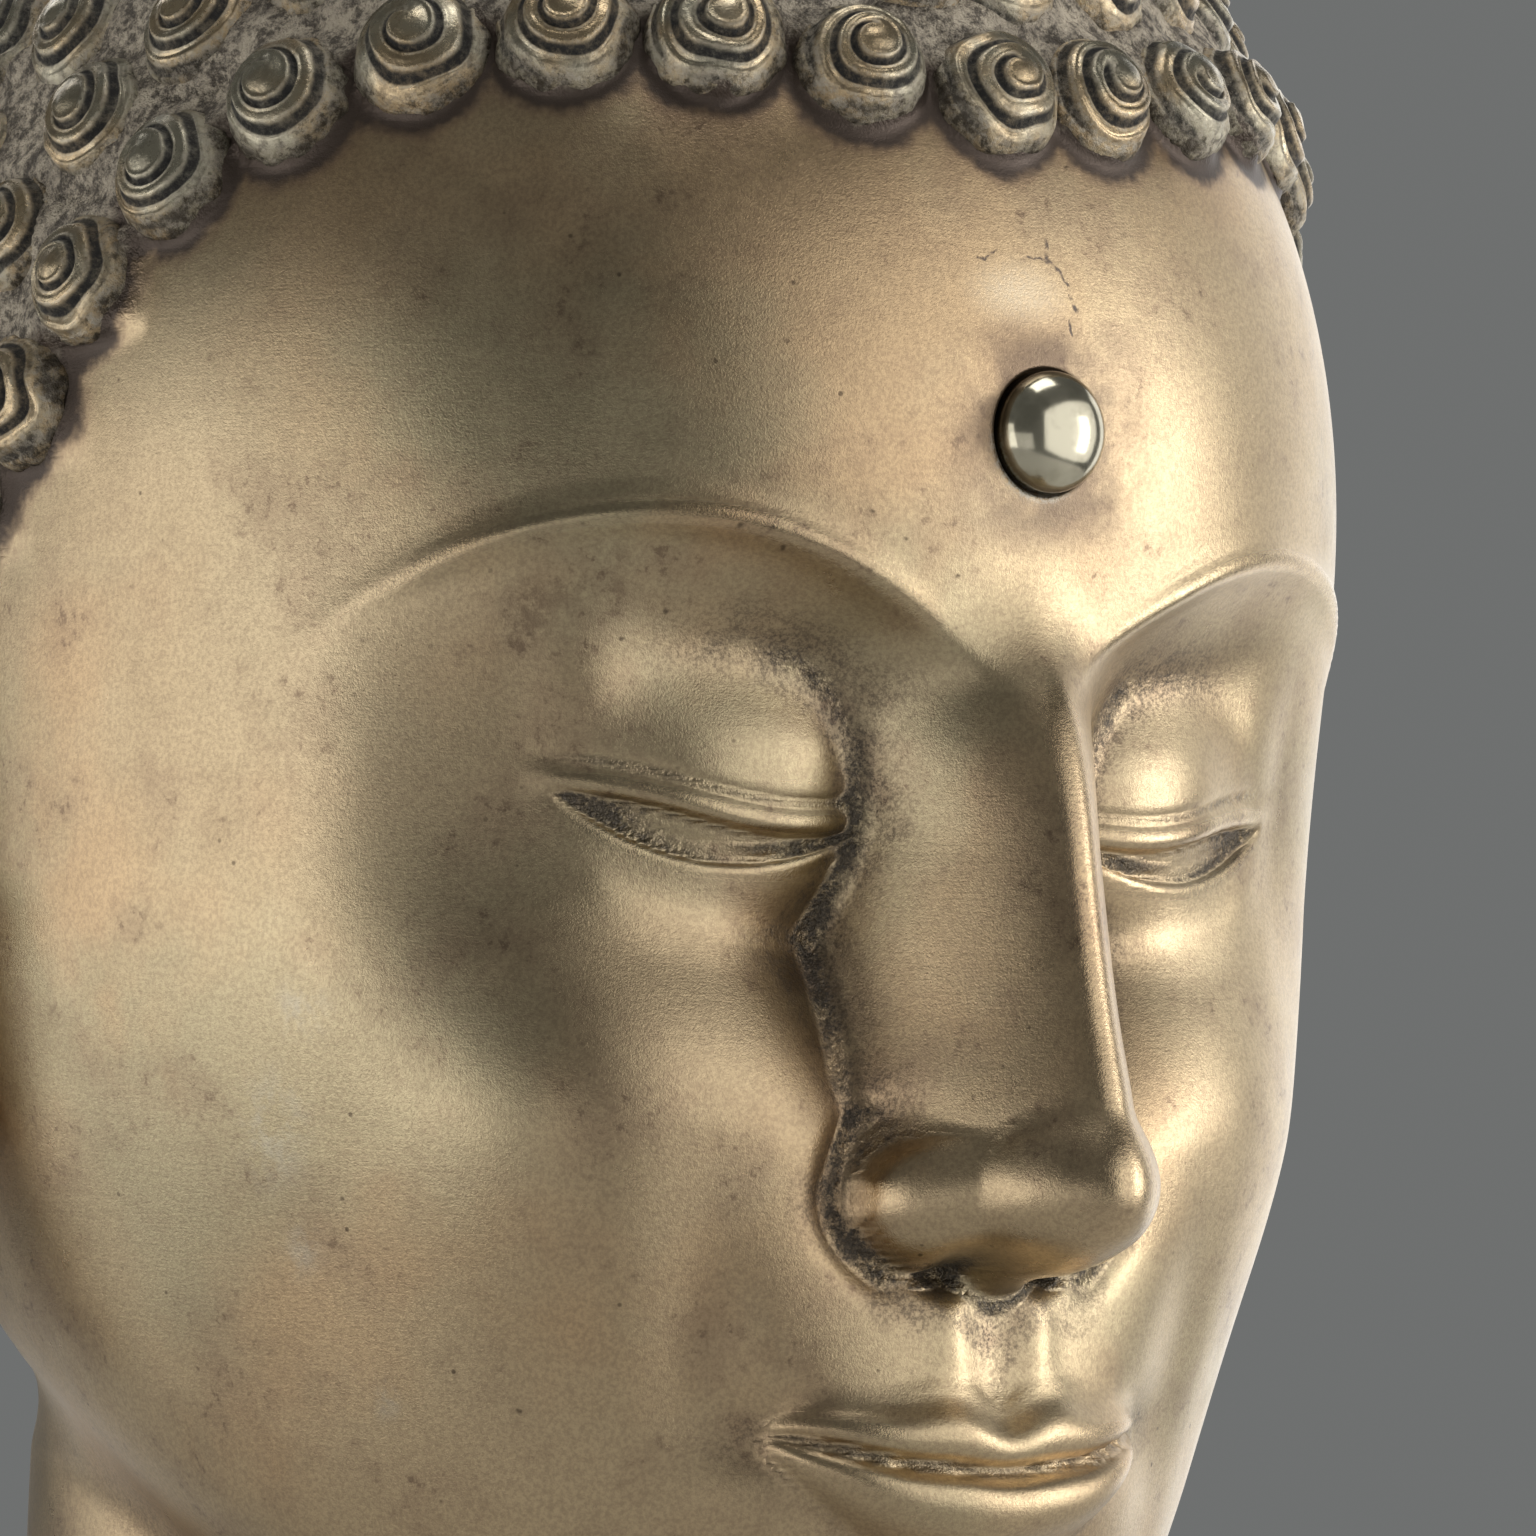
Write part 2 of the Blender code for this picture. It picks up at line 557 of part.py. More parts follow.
def forehead():
    """The point under the boss and the way it faces, in metres."""
    foot = placed(np.array([0.0]), np.array([URNA_HEIGHT]), skin(np.array([0.0]), np.array([URNA_HEIGHT])))
    normal, _, _ = normals_at(foot)
    return Vector(in_metres(foot)[0]), Vector(normal[0])


def round_of(radius, low, high, foot, normal):
    """A short cylinder along the forehead's normal, from low to high."""
    shape = bmesh.new()
    bmesh.ops.create_cone(
        shape, cap_ends=True, segments=24, radius1=radius, radius2=radius, depth=high - low
    )
    turned = normal.to_track_quat("Z", "Y").to_matrix().to_4x4()
    middle = foot + normal * (low + high) / 2
    shape.transform(Matrix.Translation(middle) @ turned)
    mesh = bpy.data.meshes.new("round")
    shape.to_mesh(mesh)
    shape.free()
    return mesh


def urna_mesh(foot, normal):
    """The boss: a dome on a flat back that sits in the seat with a thin gap round it."""
    shape = bmesh.new()
    bmesh.ops.create_uvsphere(shape, u_segments=24, v_segments=12, radius=1)
    below = [v for v in shape.verts if v.co.z < -0.001]
    bmesh.ops.delete(shape, geom=below, context="VERTS")
    rim = [e for e in shape.edges if e.is_boundary]
    wall = bmesh.ops.extrude_edge_only(shape, edges=rim)["geom"]
    lowered = [v for v in wall if isinstance(v, bmesh.types.BMVert)]
    for vertex in shape.verts:
        vertex.co.x *= URNA_WIDTH / 2
        vertex.co.y *= URNA_WIDTH / 2
        vertex.co.z *= URNA_RISE
    for vertex in lowered:
        vertex.co.z = SEAT_GAP - SEAT_DEPTH
    bmesh.ops.contextual_create(shape, geom=lowered)
    bmesh.ops.recalc_face_normals(shape, faces=shape.faces)
    turned = normal.to_track_quat("Z", "Y").to_matrix().to_4x4()
    shape.transform(Matrix.Translation(foot) @ turned)
    mesh = bpy.data.meshes.new("urna")
    shape.to_mesh(mesh)
    shape.free()
    return mesh


def boolean(target, other, operation):
    change = target.modifiers.new(other.name, "BOOLEAN")
    change.operation = operation
    change.object = other
    other.hide_render = True
    other.display_type = "WIRE"


def build():
    for old in list(bpy.data.objects):
        bpy.data.objects.remove(old)
    parts = bpy.data.collections.new("Buddha head")
    helpers = bpy.data.collections.new("Joined and cut shapes")
    for collection in (parts, helpers):
        bpy.context.scene.collection.children.link(collection)
    bronze = metal("Aged bronze", BRONZE)

    head = new_object("head", head_mesh(), parts)
    head.data.materials.append(bronze)
    for side, name in ((1, "ear left"), (-1, "ear right")):
        boolean(head, new_object(name, ear_mesh(side), helpers), "UNION")
    foot, normal = forehead()
    seat = round_of(URNA_WIDTH / 2 + SEAT_GAP, -SEAT_DEPTH, 2 * URNA_RISE, foot, normal)
    boolean(head, new_object("seat of the boss", seat, helpers), "DIFFERENCE")

    urna = new_object("urna", urna_mesh(foot, normal), parts)
    urna.data.materials.append(metal("Pale metal", PALE_METAL))
    urna.data.shade_smooth()
    urna.data.set_sharp_from_angle(angle=math.radians(40))


build()
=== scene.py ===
"""Looks of the buddha head: the worn bronze, its snail-shell curls, the ears and the forehead boss.

Metres, +Z up, the face looks along -Y. As in the part's source, the carving is worked out in fingers:
twelve make the face from hairline to chin, heights are counted up from the chin, and s is the distance
round the face from its middle line.
"""

import math

import bpy
import numpy as np
from mathutils import Matrix, Quaternion, Vector


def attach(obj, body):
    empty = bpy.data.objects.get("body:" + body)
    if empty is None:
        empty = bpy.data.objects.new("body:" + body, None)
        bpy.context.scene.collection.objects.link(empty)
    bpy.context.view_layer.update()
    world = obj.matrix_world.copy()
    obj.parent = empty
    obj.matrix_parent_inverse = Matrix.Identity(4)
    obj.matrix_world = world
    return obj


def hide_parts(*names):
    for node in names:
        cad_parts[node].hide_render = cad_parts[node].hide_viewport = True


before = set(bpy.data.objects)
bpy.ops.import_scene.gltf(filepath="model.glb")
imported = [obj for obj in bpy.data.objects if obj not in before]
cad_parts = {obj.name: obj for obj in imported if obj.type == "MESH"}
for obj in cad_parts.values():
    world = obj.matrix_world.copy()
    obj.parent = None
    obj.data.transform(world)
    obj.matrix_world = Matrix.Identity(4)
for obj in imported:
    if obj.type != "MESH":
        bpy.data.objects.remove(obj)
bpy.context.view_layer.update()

# Driving sizes of the solids, in metres
FACE_HEIGHT = 0.198
NECK_LENGTH = 0.066
NECK_RADIUS = 0.057
BASE_RADIUS = 0.065
CURL_PITCH = 0.0165
CURL_RADIUS = 0.0075
CURL_HEIGHT = 0.0050
HAIR_THICKNESS = 0.0015
URNA_WIDTH = 0.0135
URNA_RISE = 0.0048
SEAT_DEPTH = 0.0015
SEAT_GAP = 0.0003
EAR_LENGTH = 0.112
EAR_WIDTH = 0.042
EAR_THICKNESS = 0.012

# Proportions, in fingers
FINGER = FACE_HEIGHT / 12
CHIN = NECK_LENGTH / FINGER
CROWN = 14.6
TOP = 17.0
CENTRE = 8.0
ROUND = 5.7
EYE_IN = 1.0
EYE_OUT = 3.25
MOUTH_HALF = 1.62
URNA_HEIGHT = 9.45
EAR_LEVEL = 5.35
EAR_BACK = 0.79
EAR_PROUD = 0.375
EAR_LEAN = 7
EAR_FLARE = 13
EAR_ROOT = 0.7
FIRST_ROW = 0.52
SECOND_ROW = 1.72
FIRST_START = 0.74

# The photograph's view
VIEW_AZIMUTH = -34
VIEW_RISE = -1
VIEW_ROLL = 2.5
VIEW_DISTANCE = 0.8
VIEW_LENS = 154
VIEW_AIM = (0.0208, -0.015, 0.1852)


def smooth_step(x, low, high):
    t = np.clip((x - low) / (high - low), 0, 1)
    return t * t * (3 - 2 * t)


def smooth_max(a, b, width):
    t = np.clip(0.5 + 0.5 * (a - b) / width, 0, 1)
    return b * (1 - t) + a * t + width * t * (1 - t)


def bell(x, width):
    return np.exp(-((x / width) ** 2))


def spot(s, z, at_s, at_z, wide, tall):
    return np.exp(-(((s - at_s) / wide) ** 2) - ((z - at_z) / tall) ** 2)


def cap(s, z, at_s, at_z, wide, tall, foot, peak):
    """An ellipsoid's upper half, from foot to peak, that falls away outside its rim."""
    q = ((s - at_s) / wide) ** 2 + ((z - at_z) / tall) ** 2
    return foot + (peak - foot) * np.sqrt(np.clip(1 - q, 0, None)) - 6 * np.clip(q - 1, 0, None)


def quarter_round(x, power):
    return np.clip(1 - np.clip(x, 0, 1) ** power, 0, 1) ** (1 / power)


def through(stations):
    """A smooth curve through the stations that never overshoots them."""
    xs, ys = np.array(stations, float).T
    step = np.diff(xs)
    slope = np.diff(ys) / step
    lean = np.zeros(len(xs))
    lean[0], lean[-1] = slope[0], slope[-1]
    for i in range(1, len(xs) - 1):
        if slope[i - 1] * slope[i] > 0:
            before = 2 * step[i] + step[i - 1]
            after = step[i] + 2 * step[i - 1]
            lean[i] = (before + after) / (before / slope[i - 1] + after / slope[i])

    def curve(x):
        x = np.clip(x, xs[0], xs[-1])
        i = np.clip(np.searchsorted(xs, x, side="right") - 1, 0, len(step) - 1)
        t = (x - xs[i]) / step[i]
        value = (1 + 2 * t) * (1 - t) ** 2 * ys[i] + t * t * (3 - 2 * t) * ys[i + 1]
        return value + step[i] * t * (1 - t) * ((1 - t) * lean[i] - t * lean[i + 1])

    return curve


# The head's outline: height above the chin, then the size there
half_width = through([(0, 3.35), (1, 3.95), (2, 4.38), (4, 4.82), (6, 5.0), (10, 5.05), (14.6, 5.05)])
front_depth = through([(0, 5.3), (2, 5.42), (4, 5.58), (6, 5.7), (8, 5.85), (10, 5.98), (14.6, 6.0)])
back_depth = through([(0, 4.6), (2, 4.8), (4, 5.2), (6, 5.6), (8, 5.9), (10, 6.0), (14.6, 6.0)])
squareness = through([(0, 1.95), (3, 2.1), (6, 2.3), (10, 2.25), (13, 2.05), (14.6, 2.0)])

# The hairline: degrees from the face's middle line, then its height
hairline = through(
    [(0, 11.27), (13, 11.4), (27, 11.55), (39, 11.46), (50, 11.18), (59, 10.8), (67, 10.22), (74, 9.35)]
    + [(80, 8.6), (88, 8.3), (97, 8.5), (105, 8.1), (113, 6.3), (122, 4.3), (133, 3), (150, 2.3), (180, 2)]
)

# The nose: height above the chin, then how far the ridge stands out and how steep its sides are
nose_ridge = through(
    [(3.5, -0.7), (3.68, 0.0), (3.85, 0.62), (4.02, 1.08), (4.22, 1.38), (4.52, 1.5), (4.9, 1.42)]
    + [(5.6, 1.17), (6.4, 0.88), (7.1, 0.62), (7.6, 0.38), (8.0, 0.1), (8.5, -0.25), (9.0, -0.6)]
)
nose_slope = through([(3.9, 1.9), (4.6, 1.8), (5.6, 1.85), (6.6, 1.75), (7.4, 1.25), (8, 0.75), (8.6, 0.4)])

# The eye socket: distance from the middle line, then its depth
socket_depth = through([(0, 0.75), (1.0, 1.06), (2.2, 0.76), (3.3, 0.34), (4.4, 0.09), (5.4, 0)])


def skull(phi, z):
    ahead = np.cos(phi)
    across = np.abs(np.sin(phi))
    level = z - 1.5 * (1 - ahead) * (1 - smooth_step(z, 3.5, 9))
    n = squareness(level)
    deep = np.where(ahead > 0, front_depth(level), back_depth(level))
    radius = ((across / half_width(level)) ** n + (np.abs(ahead) / deep) ** n) ** (-1 / n)
    jaw = quarter_round((1.5 - level) / 2.12, 2.2)
    crown = quarter_round((z - 8.6) / (CROWN - 8.6), 2.35)
    return radius * jaw * crown


def neck(phi, z):
    """The column of the neck, set a little back, with two soft folds and a flared foot."""
    radius = NECK_RADIUS / FINGER
    flare = (BASE_RADIUS / FINGER - radius) * np.clip((-z / CHIN - 0.45) / 0.55, 0, 1) ** 1.6
    folds = sum(0.07 * bell(z + at * CHIN - 0.2 * np.cos(phi), 0.16) for at in (0.31, 0.54))
    size = radius + flare - folds
    setback = 0.35 * smooth_step(z, -CHIN, -0.5 * CHIN)
    column = np.sqrt(size**2 - (setback * np.sin(phi)) ** 2) - setback * np.cos(phi)
    return np.where(z < 9, column, 0) * (1 - smooth_step(z, 2, 5))


def ushnisha(z):
    """The bump on the crown."""
    foot = 12.6
    return 2.95 * quarter_round((z - foot) / (TOP - foot), 2.1) * smooth_step(z, foot - 2.2, foot)


def brow_line(s):
    peak = 2.5
    return 8.75 - np.where(s < peak, 0.2, 0.15) * (s - peak) ** 2


def eye_share(s):
    return np.clip((s - EYE_IN) / (EYE_OUT - EYE_IN), 0, 1)


def upper_lid(s):
    t = eye_share(s)
    sag = 0.05 * np.sin(np.pi * t) + 0.04 * np.sin(2 * np.pi * t)
    return 6.72 + 0.09 * (s - EYE_IN) - sag


def lower_lid(s):
    return 6.72 + 0.09 * (s - EYE_IN) - 0.33 * np.sin(np.pi * eye_share(s)) ** 0.85


def mouth_line(s):
    return 2.58 + 0.16 * smooth_step(s, 0.5, 1.6) - 0.05 * bell(s, 0.35)


def mouth_share(s):
    return np.clip(s / MOUTH_HALF, 0, 1)


def lip_top(s):
    bow = 0.5 - 0.1 * bell(s, 0.2) + 0.06 * bell(s - 0.45, 0.25)
    return mouth_line(s) + bow * (1 - mouth_share(s) ** 2) ** 0.75


def lip_foot(s):
    return mouth_line(s) - 0.72 * (1 - mouth_share(s) ** 2.4) ** 0.8


def lip_roll(share, crest):
    """A lip's round section: its share of the full height, which it reaches at the crest."""
    inner = 1 - 0.4 * np.clip((crest - share) / crest, 0, 1) ** 2
    outer = np.clip(1 - ((share - crest) / (1 - crest)) ** 2, 0, 1) ** 1.4
    return np.where(share < crest, inner, outer)


def broad_forms(s, z):
    """The socket under the brow's crest, the cheek, the muzzle and the chin."""
    below = brow_line(s) - z
    outer = 1 - smooth_step(s, 3.4, 5.4)
    under_crest = 0.5 * (below + np.sqrt(below**2 + 0.003))
    drop = 1 - np.exp(-((under_crest / 0.8) ** 1.2))
    h = -socket_depth(s) * drop * outer * (1 - smooth_step(below, 1.7, 4.0))
    h = h + 0.07 * bell(below, 0.12) * outer * smooth_step(s, 0.5, 1.4)
    h = h + 0.24 * spot(s, z, 3.0, 4.7, 1.5, 1.5) - 0.08 * spot(s, z, 2.1, 3.2, 0.4, 1.1)
    h = h + 0.34 * spot(s, z, 0, 2.75, 1.75, 1.25)
    return h + 0.34 * spot(s, z, 0, 0.72, 1.15, 0.78) - 0.15 * spot(s, z, 0, 1.62, 1.0, 0.3)


def with_eye(h, s, z):
    """The eyeball under a heavy upper lid and a thin lower one, with a rim along each."""
    over = z - upper_lid(s)
    under = lower_lid(s) - z
    inner = smooth_step(s, EYE_IN - 0.12, EYE_IN + 0.12)
    outer = 1 - smooth_step(s, EYE_OUT - 0.45, EYE_OUT + 0.35)
    h = smooth_max(h, cap(s, z, 2.14, 6.95, 1.42, 1.2, -1.08, -0.38), 0.24)
    upper = 0.085 * smooth_step(over, -0.03, 0.03) * (1 - smooth_step(over, 0.5, 1.3))
    rim = 0.03 * bell(over - 0.08, 0.06) - 0.03 * bell(over - 0.22, 0.05)
    lower = 0.075 * smooth_step(under, -0.03, 0.03) * (1 - smooth_step(under, 0.12, 0.75))
    return h + inner * outer * (upper + rim + lower)


def with_nose(h, s, z):
    ridge = nose_ridge(z) - nose_slope(z) * (np.sqrt(s * s + 0.04) - 0.2)
    h = smooth_max(h, ridge, 0.34)
    h = smooth_max(h, cap(s, z, 0, 4.46, 0.56, 0.6, 0.6, 1.52), 0.4)
    h = smooth_max(h, cap(s, z, 0.56, 4.33, 0.52, 0.46, 0.1, 0.7), 0.7)
    h = h - 0.07 * bell(np.hypot((s - 0.58) / 0.66, (z - 4.36) / 0.6) - 1, 0.2) * smooth_step(s, 0.6, 0.95)
    return h - 0.3 * spot(s, z, 0.4, 3.9, 0.2, 0.13)


def with_mouth(h, s, z):
    middle = mouth_line(s)
    up = np.clip((z - middle) / np.maximum(lip_top(s) - middle, 0.001), 0, 1)
    down = np.clip((middle - z) / np.maximum(middle - lip_foot(s), 0.001), 0, 1)
    full = 1 - mouth_share(s) ** 2.4
    on_upper = z >= middle
    upper = 0.22 * full**0.6 * lip_roll(up, 0.4) * np.where(on_upper, 1, 0)
    lower = 0.34 * full**0.7 * lip_roll(down, 0.36) * np.where(on_upper, 0, 1)
    h = h + upper + lower + 0.045 * full**0.5 * bell(z - lip_top(s), 0.07)
    parting = 1 - smooth_step(s, MOUTH_HALF - 0.2, MOUTH_HALF + 0.2)
    h = h - (0.04 + 0.08 * full) * bell(z - middle, 0.045) * parting
    h = h - 0.09 * spot(s, z, MOUTH_HALF, middle, 0.4, 0.3)
    groove = smooth_step(z - lip_top(s), -0.02, 0.2) * (1 - smooth_step(z, 3.5, 3.85))
    return h + (0.03 * bell(s - 0.36, 0.15) - 0.045 * bell(s, 0.22)) * groove


def face_relief(phi, z):
    s = np.abs(phi) * ROUND
    h = with_mouth(with_nose(with_eye(broad_forms(s, z), s, z), s, z), s, z)
    return h * smooth_step(np.cos(phi), 0, 0.35) * smooth_step(z, -0.8, 0.2)


def skin(phi, z):
    """Distance of the bare head's surface from the upright axis, in fingers."""
    soft = 0.35 + 1.1 * smooth_step(-np.cos(phi), -0.3, 0.7)
    radius = smooth_max(skull(phi, z), neck(phi, z), soft)
    return np.where(z > 9.5, smooth_max(radius, ushnisha(z), 0.9), radius) + face_relief(phi, z)


def into_hair(phi, z):
    """How far inside the hairline a point is, square to the hairline."""
    degrees = np.degrees(np.abs(phi))
    run = np.radians(2) * ROUND
    slope = (hairline(degrees + 1) - hairline(degrees - 1)) / run
    return (z - hairline(degrees)) / np.sqrt(1 + slope**2)


def ground(phi, z):
    """The skin, with the hair's ground laid on it inside the hairline."""
    return skin(phi, z) + HAIR_THICKNESS / FINGER * smooth_step(into_hair(phi, z), -0.1, 0.15)


def placed(phi, z, radius):
    """Points in fingers, measured from the chin's level on the axis."""
    return np.stack([radius * np.sin(phi), -radius * np.cos(phi), z], -1)


def in_metres(points):
    return (points + np.array([0, 0, CHIN])) * FINGER


def cast_out(toward):
    """Where rays from the middle of the head along these directions meet the ground."""
    toward = toward / np.linalg.norm(toward, axis=-1, keepdims=True)
    flat = np.hypot(toward[..., 0], toward[..., 1])
    phi = np.arctan2(toward[..., 0], -toward[..., 1])
    near = np.zeros(flat.shape)
    far = np.full(flat.shape, 14.0)
    for _ in range(34):
        middle = 0.5 * (near + far)
        z = np.clip(CENTRE + middle * toward[..., 2], -CHIN, TOP)
        inside = (middle * flat < ground(phi, z)) & (CENTRE + middle * toward[..., 2] < TOP)
        near = np.where(inside, middle, near)
        far = np.where(inside, far, middle)
    return np.array([0, 0, CENTRE]) + toward * near[..., None]


def normals_at(points):
    """Outward unit normals of the ground, with two directions along it."""
    toward = points - np.array([0, 0, CENTRE])
    toward = toward / np.linalg.norm(toward, axis=-1, keepdims=True)
    aside = np.cross(toward, [0.31, 0.17, 0.93])
    aside /= np.linalg.norm(aside, axis=-1, keepdims=True)
    other = np.cross(toward, aside)
    reach = 0.03
    along = cast_out(toward + reach * aside) - cast_out(toward - reach * aside)
    across = cast_out(toward + reach * other) - cast_out(toward - reach * other)
    normal = np.cross(along, across)
    normal /= np.linalg.norm(normal, axis=-1, keepdims=True)
    along /= np.linalg.norm(along, axis=-1, keepdims=True)
    return normal, along, np.cross(normal, along)


def hairline_points(inset, spacing, shift):
    """Evenly spaced points along the hairline, this far inside it."""
    degrees = np.linspace(0, 180, 721)
    phi = np.radians(degrees)
    line = placed(phi, hairline(degrees), ground(phi, hairline(degrees)))
    ahead = np.gradient(line, axis=0)
    outward, _, _ = normals_at(line)
    inward = np.cross(outward, ahead)
    inward /= np.linalg.norm(inward, axis=1, keepdims=True)
    line = cast_out(line + inset * inward - np.array([0, 0, CENTRE]))
    run = np.concatenate([[0], np.cumsum(np.linalg.norm(np.diff(line, axis=0), axis=1))])
    count = round(2 * run[-1] / spacing)
    wanted = (np.arange(count) + shift) * 2 * run[-1] / count
    side = np.where(wanted > run[-1], -1, 1)
    wanted = np.where(wanted > run[-1], 2 * run[-1] - wanted, wanted)
    even = np.stack([np.interp(wanted, run, line[:, i]) for i in range(3)], 1)
    even[:, 0] *= side
    return even


def curl_places():
    """Foot points of the curls: two rows along the hairline, then the rest packed inward."""
    pitch = CURL_PITCH / FINGER
    kept = hairline_points(FIRST_ROW * pitch, pitch, FIRST_START)
    kept = np.concatenate([kept, hairline_points(SECOND_ROW * pitch, pitch, FIRST_START - 0.5)])
    rows = len(kept)
    count = 30000
    turn = np.pi * (3 - math.sqrt(5)) * np.arange(count)
    height = 1 - 2 * (np.arange(count) + 0.5) / count
    wide = np.sqrt(1 - height**2)
    field = cast_out(np.stack([wide * np.sin(turn), -wide * np.cos(turn), height], 1))
    phi = np.arctan2(field[:, 0], -field[:, 1])
    field = field[into_hair(phi, field[:, 2]) > pitch]
    depth = np.min(np.linalg.norm(field[:, None] - kept[None], axis=2), axis=1)
    field = field[np.argsort(depth)]
    for point in field:
        if np.min(np.linalg.norm(kept - point, axis=1)) > 0.95 * pitch:
            kept = np.concatenate([kept, point[None]])
    loose = kept[rows:]
    for _ in range(40):
        away = loose[:, None] - np.concatenate([kept[:rows], loose])[None]
        far = np.linalg.norm(away, axis=2)
        push = np.where(far > 0.01, np.clip(1.15 * pitch - far, 0, None), 0)
        step = (away / np.maximum(far, 0.01)[..., None] * push[..., None]).sum(1)
        loose = cast_out(loose + 0.22 * step - np.array([0, 0, CENTRE]))
    return np.concatenate([kept[:rows], loose])


# Building meshes from grids of points


def grid_faces(rows, columns):
    """Quads of a grid whose last column joins its first."""
    row, column = np.meshgrid(np.arange(rows - 1), np.arange(columns), indexing="ij")
    here = row * columns + column
    beside = row * columns + (column + 1) % columns
    return np.stack([here, beside, beside + columns, here + columns], -1).reshape(-1, 4)


def fan_faces(first, columns, hub, turned):
    here = first + np.arange(columns)
    beside = first + (np.arange(columns) + 1) % columns
    order = [beside, here] if turned else [here, beside]
    return np.stack(order + [np.full(columns, hub)], -1)


def closed_tube(grid):
    """Points and faces of a grid of rings (rows bottom to top), closed by a fan at each end."""
    rows, columns = grid.shape[:2]
    ends = np.stack([grid[0].mean(0), grid[-1].mean(0)])
    points = np.concatenate([grid.reshape(-1, 3), ends])
    faces = grid_faces(rows, columns).tolist()
    faces += fan_faces(0, columns, rows * columns, True).tolist()
    faces += fan_faces((rows - 1) * columns, columns, rows * columns + 1, False).tolist()
    return points, faces


def piece_from(name, points, faces, masks, look, body="root"):
    """A smooth piece of the scene, with its masks kept on its points for the material to read."""
    mesh = bpy.data.meshes.new(name)
    mesh.from_pydata(points.tolist(), [], faces)
    mesh.shade_smooth()
    for mask, values in masks.items():
        flat = np.ascontiguousarray(values, dtype=np.float32)
        if flat.ndim == 2:
            layer = mesh.attributes.new(mask, "FLOAT_VECTOR", "POINT")
            layer.data.foreach_set("vector", flat.ravel())
        else:
            layer = mesh.attributes.new(mask, "FLOAT", "POINT")
            layer.data.foreach_set("value", flat)
    mesh.materials.append(look)
    piece = bpy.data.objects.new(name, mesh)
    bpy.context.scene.collection.objects.link(piece)
    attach(piece, body)
    return piece


# The skin, as one grid of heights and turns


def lines_through(start, *zones):
    """Line places from start, through zones that each give an end and a spacing."""
    places = [start]
    for end, spacing in zones:
        count = max(1, round((end - places[-1]) / spacing))
        places += list(places[-1] + (end - places[-1]) * np.arange(1, count + 1) / count)
    return np.array(places)


SEAT_RADIUS = (URNA_WIDTH / 2 + SEAT_GAP) / FINGER
SEAT_RINGS = SEAT_RADIUS + np.array([-0.04, -0.003, 0.003, 0.014, 0.03, 0.055])
ROUND_PATCH = 0.95


def grid_lines():
    """The grid's lines: turns both ways from the middle line, and heights from the base to the top."""
    near = lines_through(0, (SEAT_RINGS[0] - 0.04, 0.045))
    near = np.concatenate([near, SEAT_RINGS])
    rest = lines_through(SEAT_RINGS[-1], (ROUND_PATCH, 0.042))[1:]
    sides = np.concatenate([near, rest])
    far = lines_through(ROUND_PATCH, (4.2, 0.05), (6.6, 0.1), (math.pi * ROUND, 0.36))[1:]
    half = np.concatenate([sides, far])
    around = np.concatenate([-half[:0:-1], half[:-1]])
    low = lines_through(-CHIN, (-0.6, 0.13), (1.0, 0.07), (4.8, 0.046), (6.2, 0.07), (7.4, 0.032))
    low = np.concatenate([low, lines_through(7.4, (URNA_HEIGHT - ROUND_PATCH, 0.055))[1:-1]])
    seat = URNA_HEIGHT + np.concatenate([-sides[:0:-1], sides])
    high = lines_through(seat[-1], (12.4, 0.06), (14.0, 0.16))[1:]
    cap_turns = np.linspace(0, math.pi / 2, 14)[1:-1]
    top = 14.0 + (TOP - 14.0) * np.sin(cap_turns)
    return around, np.concatenate([low, seat, high, top])


def round_off_patch(s, z):
    """Bends the grid's squares round the boss into circles, so that its seat is truly round."""
    x = s / ROUND_PATCH
    y = (z - URNA_HEIGHT) / ROUND_PATCH
    ring = np.maximum(np.abs(x), np.abs(y))
    share = 1 - smooth_step(ring, 0.62, 0.98)
    stretch = np.where(ring > 0, ring / np.maximum(np.hypot(x, y), 1e-9), 1)
    flatten = ROUND / ground(np.array(0.0), np.array(URNA_HEIGHT))
    new_x = x * (1 - share) + x * stretch * flatten * share
    new_y = y * (1 - share) + y * stretch * share
    return new_x * ROUND_PATCH, URNA_HEIGHT + new_y * ROUND_PATCH, ring * ROUND_PATCH


def hollows(phi, z, reach):
    """How deeply the skin is hollowed at this reach, in fingers: its mean curvature times reach squared."""

    def at(right, up):
        return skin(phi + right * reach / ROUND, z + up * reach)

    here = at(0, 0)
    across = (at(1, 0) - at(-1, 0)) / (2 * reach)
    upward = (at(0, 1) - at(0, -1)) / (2 * reach)
    bend_across = at(1, 0) + at(-1, 0) - 2 * here
    bend_upward = at(0, 1) + at(0, -1) - 2 * here
    twist = (at(1, 1) + at(-1, -1) - at(1, -1) - at(-1, 1)) / 4
    bend = (1 + across**2) * bend_upward + (1 + upward**2) * bend_across - 2 * across * upward * twist
    return 0.5 * bend / (1 + across**2 + upward**2) ** 1.5


def rough(points, size, seed, waves=14):
    """A smooth random field over points, made of waves about this long, between about -1 and 1."""
    chance = np.random.default_rng(seed)
    field = np.zeros(points.shape[:-1])
    for _ in range(waves):
        way = chance.normal(size=3)
        way *= math.tau / size / np.linalg.norm(way) * chance.uniform(0.6, 1.5)
        field = field + np.sin(points @ way + chance.uniform(0, math.tau))
    return field / math.sqrt(waves / 2)


def spots(s, z, places):
    """1 in the middle of each soft oval spot on the face, 0 beyond its rim."""
    ovals = [np.hypot((s - at[0]) / wide, (z - at[1]) / tall) for at, wide, tall in places]
    return 1 - smooth_step(np.min(ovals, axis=0), 0.1, 1)


